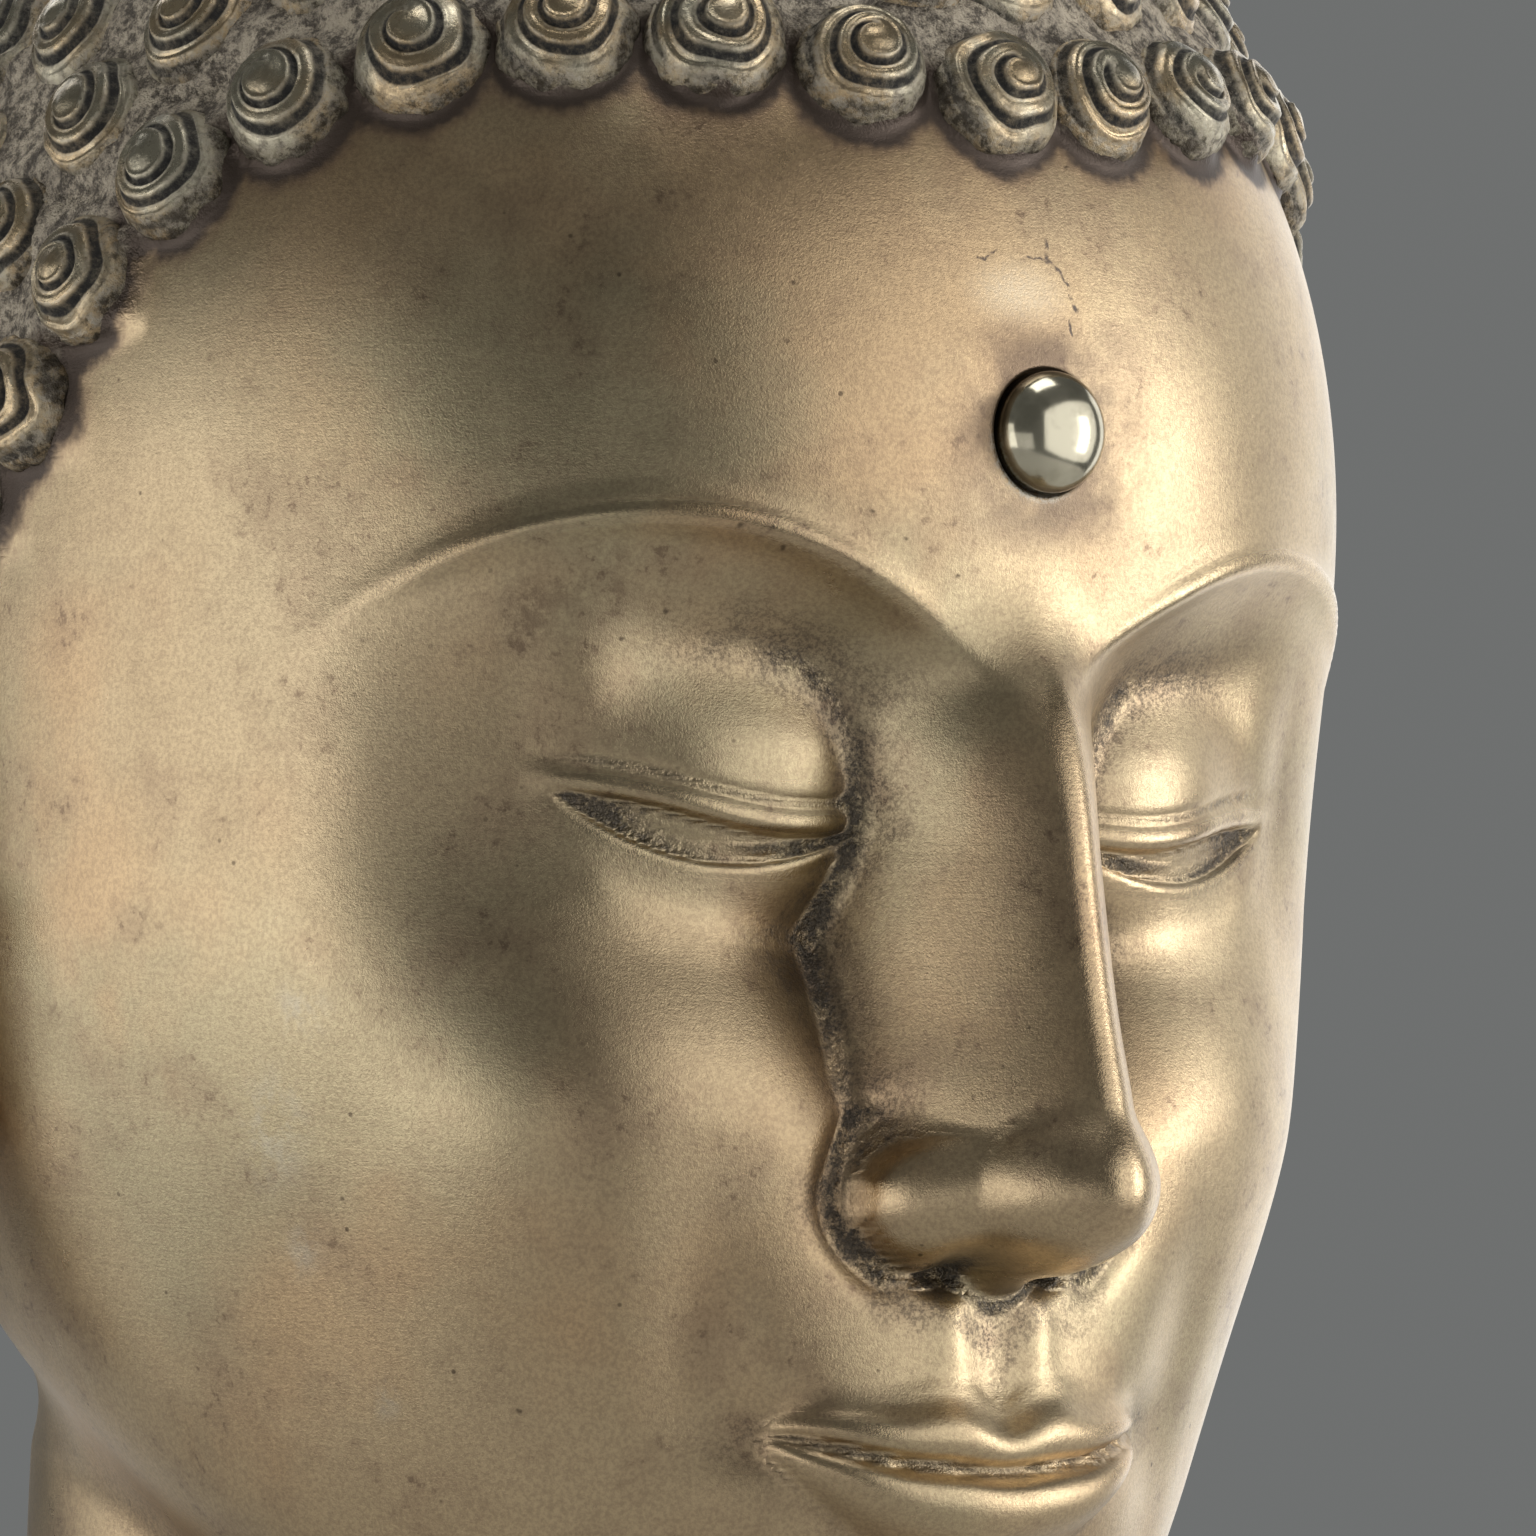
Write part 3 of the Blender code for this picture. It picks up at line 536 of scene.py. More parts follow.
def skin_piece(feet, look):
    around, heights = grid_lines()
    s, z = np.meshgrid(around, heights)
    s, z, ring = round_off_patch(s, z)
    phi = s / ROUND
    radius = ground(phi, z)
    bare = placed(phi, z, radius)

    gap = np.full(bare[..., 0].size, 9.0)
    for foot in feet:
        gap = np.minimum(gap, np.linalg.norm(bare.reshape(-1, 3) - foot, axis=1))
    beyond = gap.reshape(z.shape) - CURL_RADIUS / FINGER
    inside = np.maximum(into_hair(phi, z) - 0.5, np.where(z > 1.8, -0.02 - beyond, -2))
    hair = smooth_step(inside, -0.11, 0.09)
    chips = rough(bare, 0.3, 3) * 0.016 + rough(bare, 0.75, 4) * 0.02
    swell = rough(bare, 2.6, 5) * 0.012
    fillet = 0.05 * smooth_step(0.2 - beyond, 0, 0.2)
    radius = skin(phi, z) + hair * (HAIR_THICKNESS / FINGER + chips + fillet)
    radius = radius + (1 - hair) * swell * smooth_step(z, -1, 1)
    seat = (ring < SEAT_RADIUS) * SEAT_DEPTH / FINGER
    lip = 0.012 * bell(ring - SEAT_RADIUS, 0.01) * (ring >= SEAT_RADIUS)
    radius = radius - seat - lip
    grid = placed(phi, z, radius)

    below_boss = smooth_step(URNA_HEIGHT - z - 0.6 * s, 0.15, 0.5)
    masks = {
        "hollow": np.clip(hollows(phi, z, 0.13) / 0.05, -1, 2) * (1 - 0.6 * spot(s, z, 0, 2.5, 2.4, 0.9)),
        "deep": np.clip(hollows(phi, z, 0.5) / 0.2, -1, 2),
        "inside": np.clip(inside, -2, 2),
        "hair": hair,
        # beside: the hair's ground next to a curl's foot, darkened there as painted shade.
        "beside": smooth_step(0.16 - beyond, 0, 0.16),
        "stain": smooth_step(inside, -0.36, -0.03),
        # A ring round the boss: painted shade, with a dusty purple stain in it.
        "halo_stain_and_shade": smooth_step(0.92 - ring, 0, 0.4) * (ring > SEAT_RADIUS - 0.01),
        "mottled": spots(s, z, [(at, 0.3, 0.24) for at in MOTTLED]),
        "limy": spots(s, z, LIME_SPOTS),
        "patch": spots(s, z, [(PALE_PATCH, 0.52, 0.3)]),
        "joint": bell(ring - SEAT_RADIUS - 0.012, 0.028) * below_boss,
    }
    points, faces = closed_tube(grid)
    masks = {mask: np.concatenate([values.ravel(), [0, 0]]) for mask, values in masks.items()}
    face = np.stack([s.ravel(), z.ravel(), 0 * z.ravel()], 1)
    masks["face"] = np.concatenate([face, [[0, -CHIN, 0], [0, TOP, 0]]])
    piece = piece_from("head_skin", in_metres(points), faces, masks, look)
    return piece


# The curls: each winds out of its middle, counter-clockwise as seen from outside

COIL = 0.0023
BEAD = 0.00165
GROOVE = 0.00036
WOBBLE = 0.00022
FINE_CURL = (48, 56)
PLAIN_CURL = (26, 36)
curl_slope = through(
    [(0, 1), (0.25, 0.97), (0.45, 0.86), (0.62, 0.68), (0.76, 0.46), (0.88, 0.2), (0.95, 0), (1, -0.3)]
)


def curl_grid(rings, sides, chance):
    """One curl on a flat ground: points in metres, rows from the middle out, with its masks."""
    reach = CURL_RADIUS * chance.uniform(1.02, 1.09)
    tall = CURL_HEIGHT * chance.uniform(0.92, 1.03)
    start = math.radians(chance.uniform(20, 150))
    coil = COIL * chance.uniform(0.95, 1.08)
    turn = np.arange(sides) * math.tau / sides
    share = (np.arange(rings) + 0.6) / (rings - 0.4)
    r, turn = np.meshgrid(share * reach, turn, indexing="ij")
    flat = np.stack([r * np.cos(turn), r * np.sin(turn), 0 * r], -1)
    out = r / reach
    wobble = rough(flat, 0.009, int(chance.integers(1000)), 5) * WOBBLE
    wound = np.mod(turn - start, math.tau)
    phase = (r + wobble - BEAD) / coil - wound / math.tau
    nearest = np.maximum(np.round(phase), 0)
    away = (phase - nearest) * coil / GROOVE
    begun = np.where(nearest == 0, smooth_step(wound, 0.1, 1.5), 1)
    fade = begun * (1 - smooth_step(out, 0.84, 0.97))
    wall = bell(away, 1.0) * fade
    skirt = smooth_step(out + 0.05 * wobble / WOBBLE, 0.7, 1)
    torn = sum(chance.uniform(-1, 1) * np.sin(k * turn + chance.uniform(0, 6)) for k in (4, 7, 9, 13))
    flat = flat * (1 + 0.022 * skirt * torn)[..., None]
    lips = 0.0002 * bell(away + 1.6, 0.9) - 0.00026 * bell(away - 1.8, 1.1)
    bead = 0.0004 * np.clip(1 - (r / 0.0027) ** 2, 0, 1) ** 1.5
    crusts = 0.00011 * np.cos(math.tau * phase * 3.1) * smooth_step(out, 0.62, 0.85)
    wear = rough(flat, 0.0024, int(chance.integers(1000)), 12) * (0.00002 + 0.00011 * skirt)
    h = tall * curl_slope(out) + bead + lips * fade - 0.00085 * wall * (1 - 0.3 * out) + crusts + wear
    masks = {
        "hollow": np.clip(bell(away, 1.25) * fade, 0, 1),
        "polish": (1 - wall) * (1 - skirt),
        "skirt": skirt,
    }
    return flat + h[..., None] * np.array([0, 0, 1]), masks


def curl_pieces(feet, looks):
    """Every curl on its foot: those in the photograph's view are finer than the rest."""
    chance = np.random.default_rng(11)
    normal, along, across = normals_at(feet)
    azimuth = np.degrees(np.arctan2(feet[:, 0], -feet[:, 1]))
    inside = into_hair(np.radians(azimuth), feet[:, 2])
    facing = (azimuth > -105) & (azimuth < 75) & (inside < 2.7 * CURL_PITCH / FINGER) & (feet[:, 2] > 8.5)
    sets = {"curls_brow": facing & (azimuth > -35), "curls_temple": facing & (azimuth <= -35)}
    rest = ~facing
    sets["curls_left"] = rest & (feet[:, 0] >= 0) & (feet[:, 2] < 12)
    sets["curls_right"] = rest & (feet[:, 0] < 0) & (feet[:, 2] < 12)
    sets["curls_crown"] = rest & (feet[:, 2] >= 12)
    for name, chosen in sets.items():
        rings, sides = FINE_CURL if name in ("curls_brow", "curls_temple") else PLAIN_CURL
        points, faces, masks = [], [], {"hollow": [], "polish": [], "skirt": []}
        count = 0
        up = np.array([0, 0, 1.0])
        for index in np.flatnonzero(chosen):
            grid, marks = curl_grid(rings, sides, chance)
            out = normal[index]
            head_up = up - out * (up @ out)
            if np.linalg.norm(head_up) < 0.2:
                head_up = along[index]
            head_up = head_up / np.linalg.norm(head_up)
            aside = np.cross(head_up, out)
            foot = in_metres(feet[index])
            world = foot + grid[..., :1] * aside + grid[..., 1:2] * head_up + grid[..., 2:] * out
            own, own_faces = closed_tube(world[::-1])
            own[-2] = foot - out * 0.0012
            own[-1] = foot + out * grid[0, :, 2].mean()
            points.append(own)
            faces.append([[corner + count for corner in face] for face in own_faces])
            for mask in masks:
                masks[mask].append(np.concatenate([marks[mask][::-1].ravel(), [0, marks[mask][0].mean()]]))
            count += len(own)
        masks = {mask: np.concatenate(parts) for mask, parts in masks.items()}
        piece = piece_from(name, np.concatenate(points), sum(faces, []), masks, looks)


# The ears


def ear_surface(turn, share, outer):
    """A point of the ear, by its angle round the ear and its share of the way from middle to rim."""
    up = share * np.sin(turn)
    width = np.interp(up, [-1, -0.8, -0.35, 0.1, 0.5, 0.8, 1], [0.3, 0.42, 0.45, 0.62, 0.95, 1.0, 0.9])
    aside = share * np.copysign(np.abs(np.cos(turn)) ** 0.65, np.cos(turn)) * width
    around = np.hypot((aside - 0.1) / 0.36, (up - 0.13) / 0.25)
    bowl = 1 - smooth_step(around, 0.4, 1.1)
    fold = bell(around - 1.42, 0.24) * smooth_step(0.42 - aside, 0, 0.3) * smooth_step(up, -0.32, -0.1)
    rim = bell(share - 0.86, 0.1) * smooth_step(up, -0.5, -0.15)
    crus = spot(aside, up, 0.42, 0.34, 0.26, 0.05)
    tragus = spot(aside, up, 0.52, 0.1, 0.14, 0.09)
    slit = spot(aside, up, 0.02, -0.6, 0.11, 0.22)
    lobe = 0.2 * spot(aside, up, 0, -0.86, 0.3, 0.12)
    face = 0.3 + 0.5 * rim - 0.65 * bowl + 0.3 * fold + 0.22 * crus + 0.36 * tragus - 0.45 * slit + lobe
    edge = quarter_round(share, 4)
    root = EAR_ROOT * smooth_step(up, -0.5, -0.1) * (1 - smooth_step(share, 0.55, 0.98))
    depth = np.where(outer, face * edge, -0.35 * edge - root)
    return aside * EAR_WIDTH / 2, up * EAR_LENGTH / 2, depth * EAR_THICKNESS


def ear_piece(side, look):
    columns = 128
    turn = np.arange(columns) * math.tau / columns
    outside = np.linspace(0.02, 1, 52)
    share = np.concatenate([outside, outside[::-1][1:]])
    outer = np.arange(len(share)) < len(outside)
    turn, share = np.meshgrid(turn, share)
    _, outer = np.meshgrid(np.arange(columns), outer)
    x, y, depth = ear_surface(turn, share, outer)
    aside = half_width(EAR_LEVEL) * FINGER + EAR_PROUD * EAR_THICKNESS
    place = Matrix.Translation((aside, EAR_BACK * FINGER, (CHIN + EAR_LEVEL) * FINGER))
    lean = Matrix.Rotation(math.radians(-EAR_LEAN), 4, "X")
    flare = Matrix.Rotation(math.radians(-EAR_FLARE), 4, "Z")
    stand = Matrix(((0, 0, 1, 0), (-1, 0, 0, 0), (0, 1, 0, 0), (0, 0, 0, 1)))
    move = np.array(place @ lean @ flare @ stand)
    grid = np.stack([x, y, depth, 0 * x + 1], -1) @ move.T
    grid = grid[..., :3]
    if side < 0:
        grid = grid * np.array([-1, 1, 1])
        grid = grid[:, ::-1]
    points, faces = closed_tube(grid[::-1])
    sunk = smooth_step(0.22 - depth / EAR_THICKNESS, 0, 0.4) * (1 - smooth_step(share, 0.86, 0.95))
    relief = np.where(outer, sunk, 0)
    if side < 0:
        relief = relief[:, ::-1]
    relief = np.concatenate([relief[::-1].ravel(), [0, 1]])
    zero = 0 * relief
    masks = {"hollow": relief, "deep": 0.7 * relief, "hair": zero, "beside": zero, "inside": zero - 2}
    masks |= {"stain": zero, "halo_stain_and_shade": zero, "joint": zero, "mottled": zero, "limy": zero, "patch": zero}
    masks["face"] = np.stack([zero + 30, zero, zero], 1)
    piece = piece_from("ear_left" if side > 0 else "ear_right", points, faces, masks, look)
    return piece


# The boss on the forehead

BOSS_FOOT = 0.0002


def forehead():
    """The point under the boss and the way it faces, in metres."""
    at = np.array([0.0]), np.array([URNA_HEIGHT])
    foot = placed(*at, skin(*at))
    normal, _, _ = normals_at(foot)
    return Vector(in_metres(foot)[0]), Vector(normal[0])


def urna_piece(look):
    foot, normal = forehead()
    turned = np.array(normal.to_track_quat("Z", "Y").to_matrix())
    bend = np.linspace(0, math.pi / 2, 44)[:-1]
    wide = np.concatenate([[1, 1, 0.995], np.cos(bend[3:]) ** 0.92])
    dome = BOSS_FOOT + (URNA_RISE - BOSS_FOOT) * np.sin(bend[3:])
    high = np.concatenate([[SEAT_GAP - SEAT_DEPTH, -0.0002, 0.0003], dome])
    turn = np.arange(96) * math.tau / 96
    ring = np.stack([np.cos(turn), np.sin(turn)], -1) * URNA_WIDTH / 2
    level = np.broadcast_to(high[:, None, None], (len(wide), 96, 1))
    grid = np.concatenate([wide[:, None, None] * ring, level], -1)
    grid = grid @ turned.T + np.array(foot)
    points, faces = closed_tube(grid)
    masks = {"rim": np.concatenate([np.repeat(1 - np.sin(np.linspace(0, 1.57, len(wide))), 96), [1, 0]])}
    piece = piece_from("urna_boss", points, faces, masks, look)
    return piece


# Materials


class Look:
    """A material's nodes, with short calls that add a node and give back what it puts out."""

    def __init__(self, name):
        self.material = bpy.data.materials.new(name)
        self.material.use_nodes = True
        self.tree = self.material.node_tree
        self.shader = self.tree.nodes["Principled BSDF"]
        self.place = self.tree.nodes.new("ShaderNodeTexCoord").outputs["Object"]

    def add(self, kind, inputs, **settings):
        node = self.tree.nodes.new(kind)
        for name, value in settings.items():
            setattr(node, name, value)
        for name, value in inputs.items():
            if isinstance(value, bpy.types.NodeSocket):
                self.tree.links.new(value, node.inputs[name])
            else:
                node.inputs[name].default_value = value
        return node

    def mask(self, name):
        return self.add("ShaderNodeAttribute", {}, attribute_name=name).outputs["Fac"]

    def spread(self, stretch, shift):
        moved = self.add("ShaderNodeMapping", {"Vector": self.place, "Scale": stretch, "Location": shift})
        return moved.outputs["Vector"]

    def noise(self, scale, detail=3.0, shift=0.0, stretch=(1, 1, 1), roughness=0.55, warp=0.0):
        inputs = {"Vector": self.spread(stretch, (shift, shift, shift)), "Scale": scale, "Detail": detail}
        inputs["Roughness"] = roughness
        inputs["Distortion"] = warp
        return self.add("ShaderNodeTexNoise", inputs).outputs["Fac"]

    def cells(self, scale, shift=0.0):
        inputs = {"Vector": self.spread((1, 1, 1), (shift, shift, shift)), "Scale": scale}
        return self.add("ShaderNodeTexVoronoi", inputs)

    def sum(self, operation, a, b=0.0, clamp=False):
        return self.add("ShaderNodeMath", {0: a, 1: b}, operation=operation, use_clamp=clamp).outputs[0]

    def band(self, value, low, high):
        """0 below low, 1 above high, smooth between."""
        inputs = {"Value": value, "From Min": low, "From Max": high}
        return self.add("ShaderNodeMapRange", inputs, interpolation_type="SMOOTHSTEP").outputs["Result"]

    def scaled(self, value, low, high):
        """Turns a 0 to 1 value into low to high."""
        inputs = {"Value": value, "To Min": low, "To Max": high}
        return self.add("ShaderNodeMapRange", inputs).outputs["Result"]

    def colours(self, share, a, b):
        a = (*a, 1) if isinstance(a, tuple) else a
        b = (*b, 1) if isinstance(b, tuple) else b
        return self.add("ShaderNodeMix", {0: share, 6: a, 7: b}, data_type="RGBA").outputs[2]

    def all_of(self, *values):
        total = values[0]
        for value in values[1:]:
            total = self.sum("MULTIPLY", total, value)
        return total

    def vector(self, operation, a, b=(0, 0, 0), **settings):
        return self.add("ShaderNodeVectorMath", {0: a, 1: b, **settings}, operation=operation)

    def face_place(self, warp, scale):
        """Distance round the face and height above the chin, in fingers, shaken a little by noise."""
        place = self.add("ShaderNodeAttribute", {}, attribute_name="face").outputs["Vector"]
        inputs = {"Vector": self.place, "Scale": scale, "Detail": 2.0, "Roughness": 0.6}
        shake = self.add("ShaderNodeTexNoise", inputs).outputs["Color"]
        shake = self.vector("SUBTRACT", shake, (0.5, 0.5, 0.5)).outputs["Vector"]
        shake = self.vector("MULTIPLY", shake, (warp, warp, 0)).outputs["Vector"]
        return self.vector("ADD", place, shake).outputs["Vector"]

    def near_line(self, place, start, end, width):
        """1 on a line between two places of the face, 0 beyond this width."""
        run = Vector((*end, 0)) - Vector((*start, 0))
        away = self.vector("SUBTRACT", place, (*start, 0)).outputs["Vector"]
        along = self.vector("DOT_PRODUCT", away, tuple(run / run.length_squared)).outputs["Value"]
        along = self.sum("ADD", along, 0.0, clamp=True)
        nearest = self.vector("SCALE", tuple(run), Scale=along).outputs["Vector"]
        gap = self.vector("DISTANCE", away, nearest).outputs["Value"]
        return self.band(gap, width, width * 0.25)

    def near_spot(self, place, centre, wide, tall):
        """1 in the middle of an oval spot on the face, 0 at its rim."""
        away = self.vector("SUBTRACT", place, (*centre, 0)).outputs["Vector"]
        away = self.vector("MULTIPLY", away, (1 / wide, 1 / tall, 0)).outputs["Vector"]
        return self.band(self.vector("LENGTH", away).outputs["Value"], 1.0, 0.1)

    def any_of(self, *values):
        total = values[0]
        for value in values[1:]:
            total = self.sum("MAXIMUM", total, value)
        return total

    def bump(self, height, strength, distance, below=None):
        inputs = {"Height": height, "Strength": strength, "Distance": distance}
        if below is not None:
            inputs["Normal"] = below
        return self.add("ShaderNodeBump", inputs).outputs["Normal"]

    def finish(self, colour, roughness, metallic, normal):
        for name, value in (("Base Color", colour), ("Roughness", roughness), ("Metallic", metallic)):
            if isinstance(value, bpy.types.NodeSocket):
                self.tree.links.new(value, self.shader.inputs[name])
            else:
                self.shader.inputs[name].default_value = value
        self.tree.links.new(normal, self.shader.inputs["Normal"])
        return self.material


KHAKI = (0.50, 0.38, 0.23)
GREENISH = (0.44, 0.365, 0.225)
ORANGE = (0.52, 0.37, 0.215)
PALE_BRONZE = (0.56, 0.445, 0.28)
DARK_PATINA = (0.045, 0.038, 0.03)
BROWN_STAIN = (0.15, 0.098, 0.068)
# Purple-brown for the ring round the boss: a dusty stain, and painted shade.
PURPLE_STAIN_AND_SHADE = (0.09, 0.062, 0.052)
RED_BROWN = (0.27, 0.178, 0.118)
# Soot for the stain along the hairline, and painted shade on the ground at the curls' feet.
SOOT_AND_SHADE = (0.045, 0.034, 0.03)
PALE_PATCH_TONE = (0.68, 0.6, 0.45)
DUST = (0.54, 0.465, 0.355)
# Dark dust on the hair's ground and the curls' skirts, and painted shade at the curls' feet.
DARK_DUST_AND_SHADE = (0.095, 0.078, 0.058)
LIME = (0.47, 0.43, 0.35)
SILVER_GOLD = (0.43, 0.39, 0.29)
CURL_BLACK = (0.024, 0.022, 0.02)
CURL_DUST = (0.43, 0.38, 0.30)
CRACK_BROWN = (0.085, 0.05, 0.033)
PIT_BROWN = (0.07, 0.05, 0.036)
BOSS_PALE = (0.50, 0.46, 0.35)
BOSS_DEEP = (0.38, 0.35, 0.26)

# Marks on the face: distance round it from the middle line, then height, in fingers
CRACK = [(0.04, 10.75), (0.01, 10.61), (0.13, 10.52), (0.19, 10.42), (0.24, 10.28)]
CRACK_FOOT = [(0.17, 10.2), (0.19, 10.08)]
CRACK_BRANCHES = [((-0.13, 10.62), (0.02, 10.6)), ((-0.53, 10.57), (-0.46, 10.57))]
CRACK_BRANCHES += [((-0.46, 10.57), (-0.37, 10.64))]
PALE_PATCH = (-0.22, 10.36)
PITTED = [(-2.12, 8.69), (-1.93, 8.7), (-1.83, 8.56), (-2.52, 8.13), (-2.79, 7.94), (-1.26, 8.83)]
PITTED += [(-1.02, 8.67), (-0.62, 8.44), (-3.28, 2.83), (-0.38, 3.76), (0.3, 11.26)]
MOTTLED = [(-3.43, 8.16), (-2.98, 8.4), (-3.48, 7.99), (-3.17, 8.29), (-2.93, 8.2)]
LIME_SPOTS = [((-5.17, 4.6), 0.42, 0.6), ((-4.91, 5.41), 0.3, 0.3)]
LIME_SPOTS += [((-4.95, 3.81), 0.22, 0.28), ((-4.27, 2.85), 0.16, 0.2)]


def marks_of(look):
    """Masks of the face's own fine marks: the cracks and the pits."""
    place = look.face_place(0.09, 500)
    cracks = [look.near_line(place, a, b, 0.02) for a, b in zip(CRACK, CRACK[1:])]
    cracks += [look.near_line(place, *CRACK_FOOT, 0.015)]
    cracks += [look.near_line(place, a, b, 0.012) for a, b in CRACK_BRANCHES]
    crack = look.sum("MULTIPLY", look.any_of(*cracks), look.band(look.noise(1100, 2, 37), 0.34, 0.56))
    return crack, look.any_of(*[look.near_spot(place, at, 0.03, 0.024) for at in PITTED])


def skin_look():
    look = Look("Worn bronze")
    hollow = look.mask("hollow")
    deep = look.mask("deep")
    crack, pits = marks_of(look)

    colour = look.colours(look.band(look.noise(15, 3, 1), 0.42, 0.62), KHAKI, GREENISH)
    colour = look.colours(look.band(look.noise(26, 4, 5), 0.46, 0.66), colour, ORANGE)
    colour = look.colours(look.band(look.noise(9, 2, 9), 0.5, 0.75), colour, PALE_BRONZE)
    cloud = look.band(look.noise(60, 4, 21, roughness=0.72), 0.46, 0.72)
    colour = look.colours(look.sum("MULTIPLY", cloud, 0.36), colour, RED_BROWN)
    grain = look.noise(1900, 3, 2, roughness=0.8)
    colour = look.colours(look.scaled(look.band(grain, 0.36, 0.66), 0.0, 0.34), colour, BROWN_STAIN)
    blot = look.band(look.noise(560, 4, 24, roughness=0.72), 0.54, 0.68)
    blot = look.sum("MULTIPLY", blot, look.band(cloud, 0.05, 0.6))
    colour = look.colours(look.sum("MULTIPLY", blot, 0.6), colour, BROWN_STAIN)
    colour = look.colours(look.all_of(look.mask("patch"), grain, 0.7), colour, PALE_PATCH_TONE)

    broken = look.noise(210, 5, 3, roughness=0.78)
    crisp = look.sum("MULTIPLY", look.band(hollow, 0.3, 1.3), look.band(broken, 0.36, 0.56))
    soft = look.sum("MULTIPLY", look.band(deep, 0.2, 1.3), look.band(broken, 0.25, 0.7))
    mottled = look.sum("MULTIPLY", look.mask("mottled"), look.band(broken, 0.44, 0.6))
    patina = look.sum("ADD", crisp, look.all_of(soft, look.band(grain, 0.42, 0.6), 0.7), clamp=True)
    colour = look.colours(look.sum("MULTIPLY", look.any_of(soft, mottled), 0.62), colour, BROWN_STAIN)
    colour = look.colours(look.sum("MULTIPLY", patina, look.scaled(grain, 0.55, 1.15)), colour, DARK_PATINA)

    near_hair = look.mask("stain")
    ragged = look.sum("ADD", near_hair, look.scaled(look.noise(170, 3, 7, roughness=0.75), -0.5, 0.5))
    stain = look.band(ragged, 0.3, 0.75)
    colour = look.colours(look.sum("MULTIPLY", look.band(ragged, 0.0, 0.7), 0.6), colour, RED_BROWN)
    colour = look.colours(look.sum("MULTIPLY", stain, 0.9), colour, SOOT_AND_SHADE)
    # The ring round the boss is darkened purple: painted shade, with a dusty stain.
    halo_stain_and_shade = look.sum("MULTIPLY", look.mask("halo_stain_and_shade"), look.band(look.noise(120, 3, 27), 0.25, 0.6))
    colour = look.colours(look.sum("MULTIPLY", halo_stain_and_shade, 0.62), colour, PURPLE_STAIN_AND_SHADE)
    filler = look.sum("MULTIPLY", look.mask("joint"), look.band(grain, 0.42, 0.56))
    colour = look.colours(filler, colour, LIME)
    limy = look.sum("MULTIPLY", look.mask("limy"), look.band(broken, 0.4, 0.62))
    colour = look.colours(look.sum("MULTIPLY", limy, 0.45), colour, LIME)
    colour = look.colours(look.sum("MULTIPLY", crack, 0.85), colour, CRACK_BROWN)

    cells = look.cells(240, 4)
    scattered = look.band(look.noise(45, 2, 11), 0.48, 0.66)
    pit = look.sum("MULTIPLY", look.band(cells.outputs["Distance"], 0.09, 0.04), scattered)
    colour = look.colours(look.sum("MULTIPLY", look.any_of(pit, pits), 0.75), colour, PIT_BROWN)

    frayed = look.scaled(look.noise(260, 2, 41, roughness=0.7), -0.2, 0.2)
    frayed = look.sum("ADD", look.mask("inside"), frayed)
    hair = look.band(frayed, -0.03, 0.16)
    dusty = look.colours(look.band(look.noise(420, 4, 12, roughness=0.85), 0.38, 0.6), DARK_DUST_AND_SHADE, DUST)
    dusty = look.colours(look.band(broken, 0.54, 0.68), dusty, DARK_DUST_AND_SHADE)
    # Painted shade: the ground next to each curl's foot is darkened with soot.
    dusty = look.colours(look.all_of(look.mask("beside"), look.band(broken, 0.3, 0.6), 0.35), dusty, SOOT_AND_SHADE)
    colour = look.colours(hair, colour, dusty)

    dull = look.any_of(patina, look.sum("MULTIPLY", stain, 0.8), look.sum("MULTIPLY", halo_stain_and_shade, 0.4))
    rough_all = look.scaled(look.noise(90, 5, 18, roughness=0.75), 0.18, 0.46)
    rough_all = look.sum("SUBTRACT", rough_all, look.sum("MULTIPLY", look.band(hollow, -0.2, -0.9), 0.12))
    rough_all = look.sum("ADD", rough_all, look.sum("MULTIPLY", dull, 0.16))
    rough_all = look.sum("ADD", rough_all, look.sum("MULTIPLY", hair, 0.3), clamp=True)
    flat_part = look.any_of(look.sum("MULTIPLY", hair, 0.85), look.sum("MULTIPLY", dull, 0.4))
    flat_part = look.any_of(flat_part, filler, crack)
    metallic = look.sum("SUBTRACT", 1.0, flat_part, clamp=True)

    brushed = look.noise(620, 2, 15, stretch=(0.25, 0.25, 2.2), roughness=0.75)
    fine = look.noise(3600, 2, 16, roughness=0.85)
    normal = look.bump(look.sum("ADD", look.sum("MULTIPLY", brushed, 0.4), fine), 0.26, 0.0002)
    crusted = look.any_of(look.mask("hair"), look.band(hollow, 0.2, 1.6))
    crust = look.sum("MULTIPLY", look.noise(560, 3, 17, roughness=0.85), crusted)
    normal = look.bump(crust, 0.85, 0.0011, normal)
    return look.finish(colour, rough_all, metallic, normal)


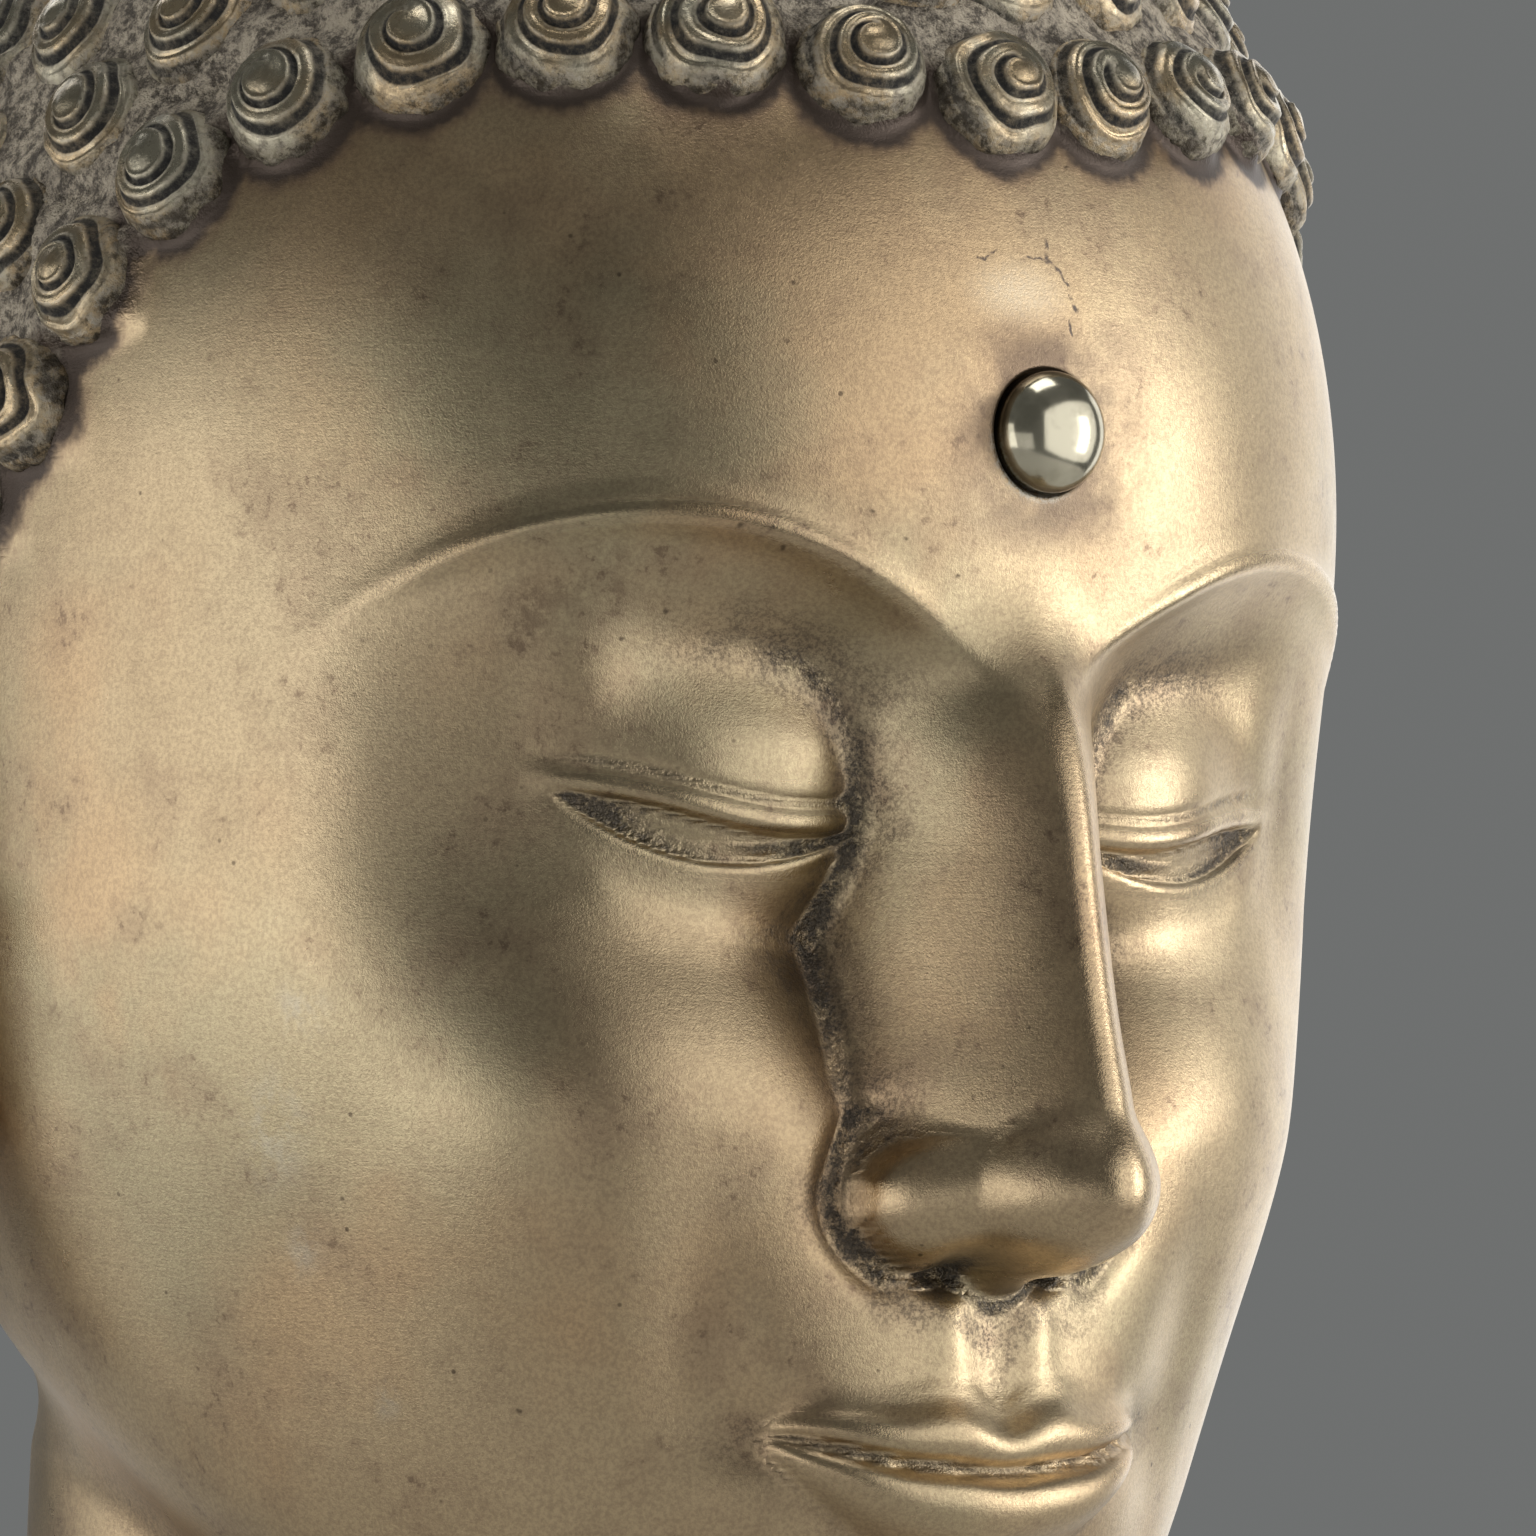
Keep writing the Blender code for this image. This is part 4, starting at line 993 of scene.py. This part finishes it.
def curl_look():
    look = Look("Curl bronze")
    hollow = look.mask("hollow")
    polish = look.mask("polish")
    skirt = look.mask("skirt")
    # rim: the curl's outer edge at its foot, darkened below as painted shade.
    rim = look.band(skirt, 0.72, 1.0)
    colour = look.colours(look.band(look.noise(90, 3, 1), 0.4, 0.62), SILVER_GOLD, KHAKI)
    wear = look.noise(620, 5, 2, roughness=0.76)
    colour = look.colours(look.scaled(look.band(wear, 0.4, 0.64), 0.0, 0.45), colour, DARK_PATINA)
    blacked = look.scaled(look.band(wear, 0.3, 0.6), 0.7, 1.0)
    groove = look.sum("MULTIPLY", look.band(hollow, 0.2, 0.75), blacked, clamp=True)
    colour = look.colours(groove, colour, CURL_BLACK)
    lip = look.all_of(look.band(hollow, 0.03, 0.2), look.band(hollow, 0.6, 0.25))
    speckled = look.band(look.noise(900, 4, 4, roughness=0.8), 0.42, 0.6)
    dusting = look.sum("ADD", look.sum("MULTIPLY", lip, 0.5), look.sum("MULTIPLY", skirt, 0.8), clamp=True)
    dusting = look.sum("MULTIPLY", dusting, speckled)
    colour = look.colours(look.sum("MULTIPLY", skirt, look.band(wear, 0.52, 0.6)), colour, DARK_DUST_AND_SHADE)
    colour = look.colours(dusting, colour, CURL_DUST)
    # Painted shade: the curl's foot is darkened where it meets the ground.
    rim = look.sum("MULTIPLY", rim, look.scaled(look.band(wear, 0.4, 0.6), 0.3, 0.95))
    colour = look.colours(rim, colour, DARK_DUST_AND_SHADE)
    rough_all = look.scaled(look.band(wear, 0.3, 0.7), 0.17, 0.36)
    rough_all = look.sum("ADD", rough_all, look.sum("MULTIPLY", look.any_of(groove, dusting, skirt), 0.35))
    rough_all = look.sum("ADD", rough_all, look.scaled(polish, 0.06, 0.0))
    covered = look.any_of(dusting, groove)
    metallic = look.sum("SUBTRACT", 1.0, look.sum("MULTIPLY", covered, 0.6), clamp=True)
    normal = look.bump(look.noise(1500, 4, 6, roughness=0.75), 0.28, 0.0003)
    crust = look.sum("MULTIPLY", look.noise(620, 5, 7, roughness=0.8), look.any_of(skirt, hollow))
    normal = look.bump(crust, 0.85, 0.0009, normal)
    return look.finish(colour, rough_all, metallic, normal)


def urna_look():
    look = Look("Pale polished metal")
    tone = look.band(look.noise(240, 4, 1), 0.4, 0.65)
    colour = look.colours(tone, BOSS_PALE, BOSS_DEEP)
    rim = look.band(look.mask("rim"), 0.72, 0.98)
    colour = look.colours(look.sum("MULTIPLY", rim, 0.7), colour, DARK_PATINA)
    rough_all = look.scaled(look.noise(420, 4, 2), 0.1, 0.22)
    scratches = look.noise(900, 3, 3, stretch=(1, 1, 0.1))
    normal = look.bump(scratches, 0.08, 0.0002)
    return look.finish(colour, rough_all, 1.0, normal)


# The stage


def area_light(name, azimuth, rise, distance, wide, tall, power, colour=(1, 1, 1)):
    light = bpy.data.lights.new(name, "AREA")
    light.shape = "RECTANGLE"
    light.size = wide
    light.size_y = tall
    light.energy = power
    light.color = colour
    holder = bpy.data.objects.new(name, light)
    turn = math.radians(azimuth)
    up = math.radians(rise)
    back = Vector((math.sin(turn) * math.cos(up), -math.cos(turn) * math.cos(up), math.sin(up)))
    aim = Vector((0, 0, 0.18))
    holder.location = aim + back * distance
    holder.rotation_euler = (-back).to_track_quat("-Z", "Y").to_euler()
    bpy.context.scene.collection.objects.link(holder)


def stage():
    world = bpy.data.worlds.new("Studio")
    world.use_nodes = True
    world.node_tree.nodes["Background"].inputs["Color"].default_value = (0.158, 0.163, 0.161, 1)
    bpy.context.scene.world = world
    bpy.context.scene.view_settings.view_transform = "Standard"
    area_light("right softbox", 32, 6, 1.0, 1.6, 1.1, 7.4)
    area_light("right window", 46, 4, 0.9, 0.22, 0.45, 1.6)
    area_light("far softbox", 114, 4, 1.0, 1.05, 1.1, 5.2)
    area_light("left softbox", -111, -24, 1.0, 1.55, 1.5, 10.2)
    area_light("low fill", -62, -15, 1.2, 1.5, 0.55, 1.5)
    area_light("top softbox", 10, 80, 1.1, 0.6, 0.5, 3)
    area_light("back softbox", 165, 25, 1.2, 0.9, 0.9, 5)

    mesh = bpy.data.meshes.new("floor")
    turn = np.arange(96) * math.tau / 96
    rim = np.stack([0.45 * np.cos(turn), 0.45 * np.sin(turn), 0 * turn - 0.0006], 1)
    mesh.from_pydata(rim.tolist(), [], [list(range(96))])
    floor_look = Look("Pale floor")
    tone = floor_look.colours(floor_look.noise(40, 3), (0.7, 0.7, 0.69), (0.75, 0.75, 0.74))
    normal = floor_look.bump(floor_look.noise(300, 3), 0.05, 0.0002)
    mesh.materials.append(floor_look.finish(tone, 0.7, 0.0, normal))
    floor = bpy.data.objects.new("floor", mesh)
    bpy.context.scene.collection.objects.link(floor)


def camera():
    lens = bpy.data.cameras.new("camera")
    lens.sensor_width = 36
    lens.lens = VIEW_LENS
    lens.clip_start = 0.01
    holder = bpy.data.objects.new("camera", lens)
    turn = math.radians(VIEW_AZIMUTH)
    up = math.radians(VIEW_RISE)
    back = Vector((math.sin(turn) * math.cos(up), -math.cos(turn) * math.cos(up), math.sin(up)))
    holder.location = Vector(VIEW_AIM) + back * VIEW_DISTANCE
    rolled = Quaternion((0, 0, 1), math.radians(VIEW_ROLL))
    holder.rotation_euler = ((-back).to_track_quat("-Z", "Y") @ rolled).to_euler()
    bpy.context.scene.collection.objects.link(holder)
    bpy.context.scene.camera = holder


feet = curl_places()
head_look = skin_look()
skin_made = skin_piece(feet, head_look)
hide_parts("head")
curl_pieces(feet, curl_look())
for side in (1, -1):
    ear_piece(side, head_look)
boss = urna_piece(urna_look())
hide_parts("urna")
stage()
camera()
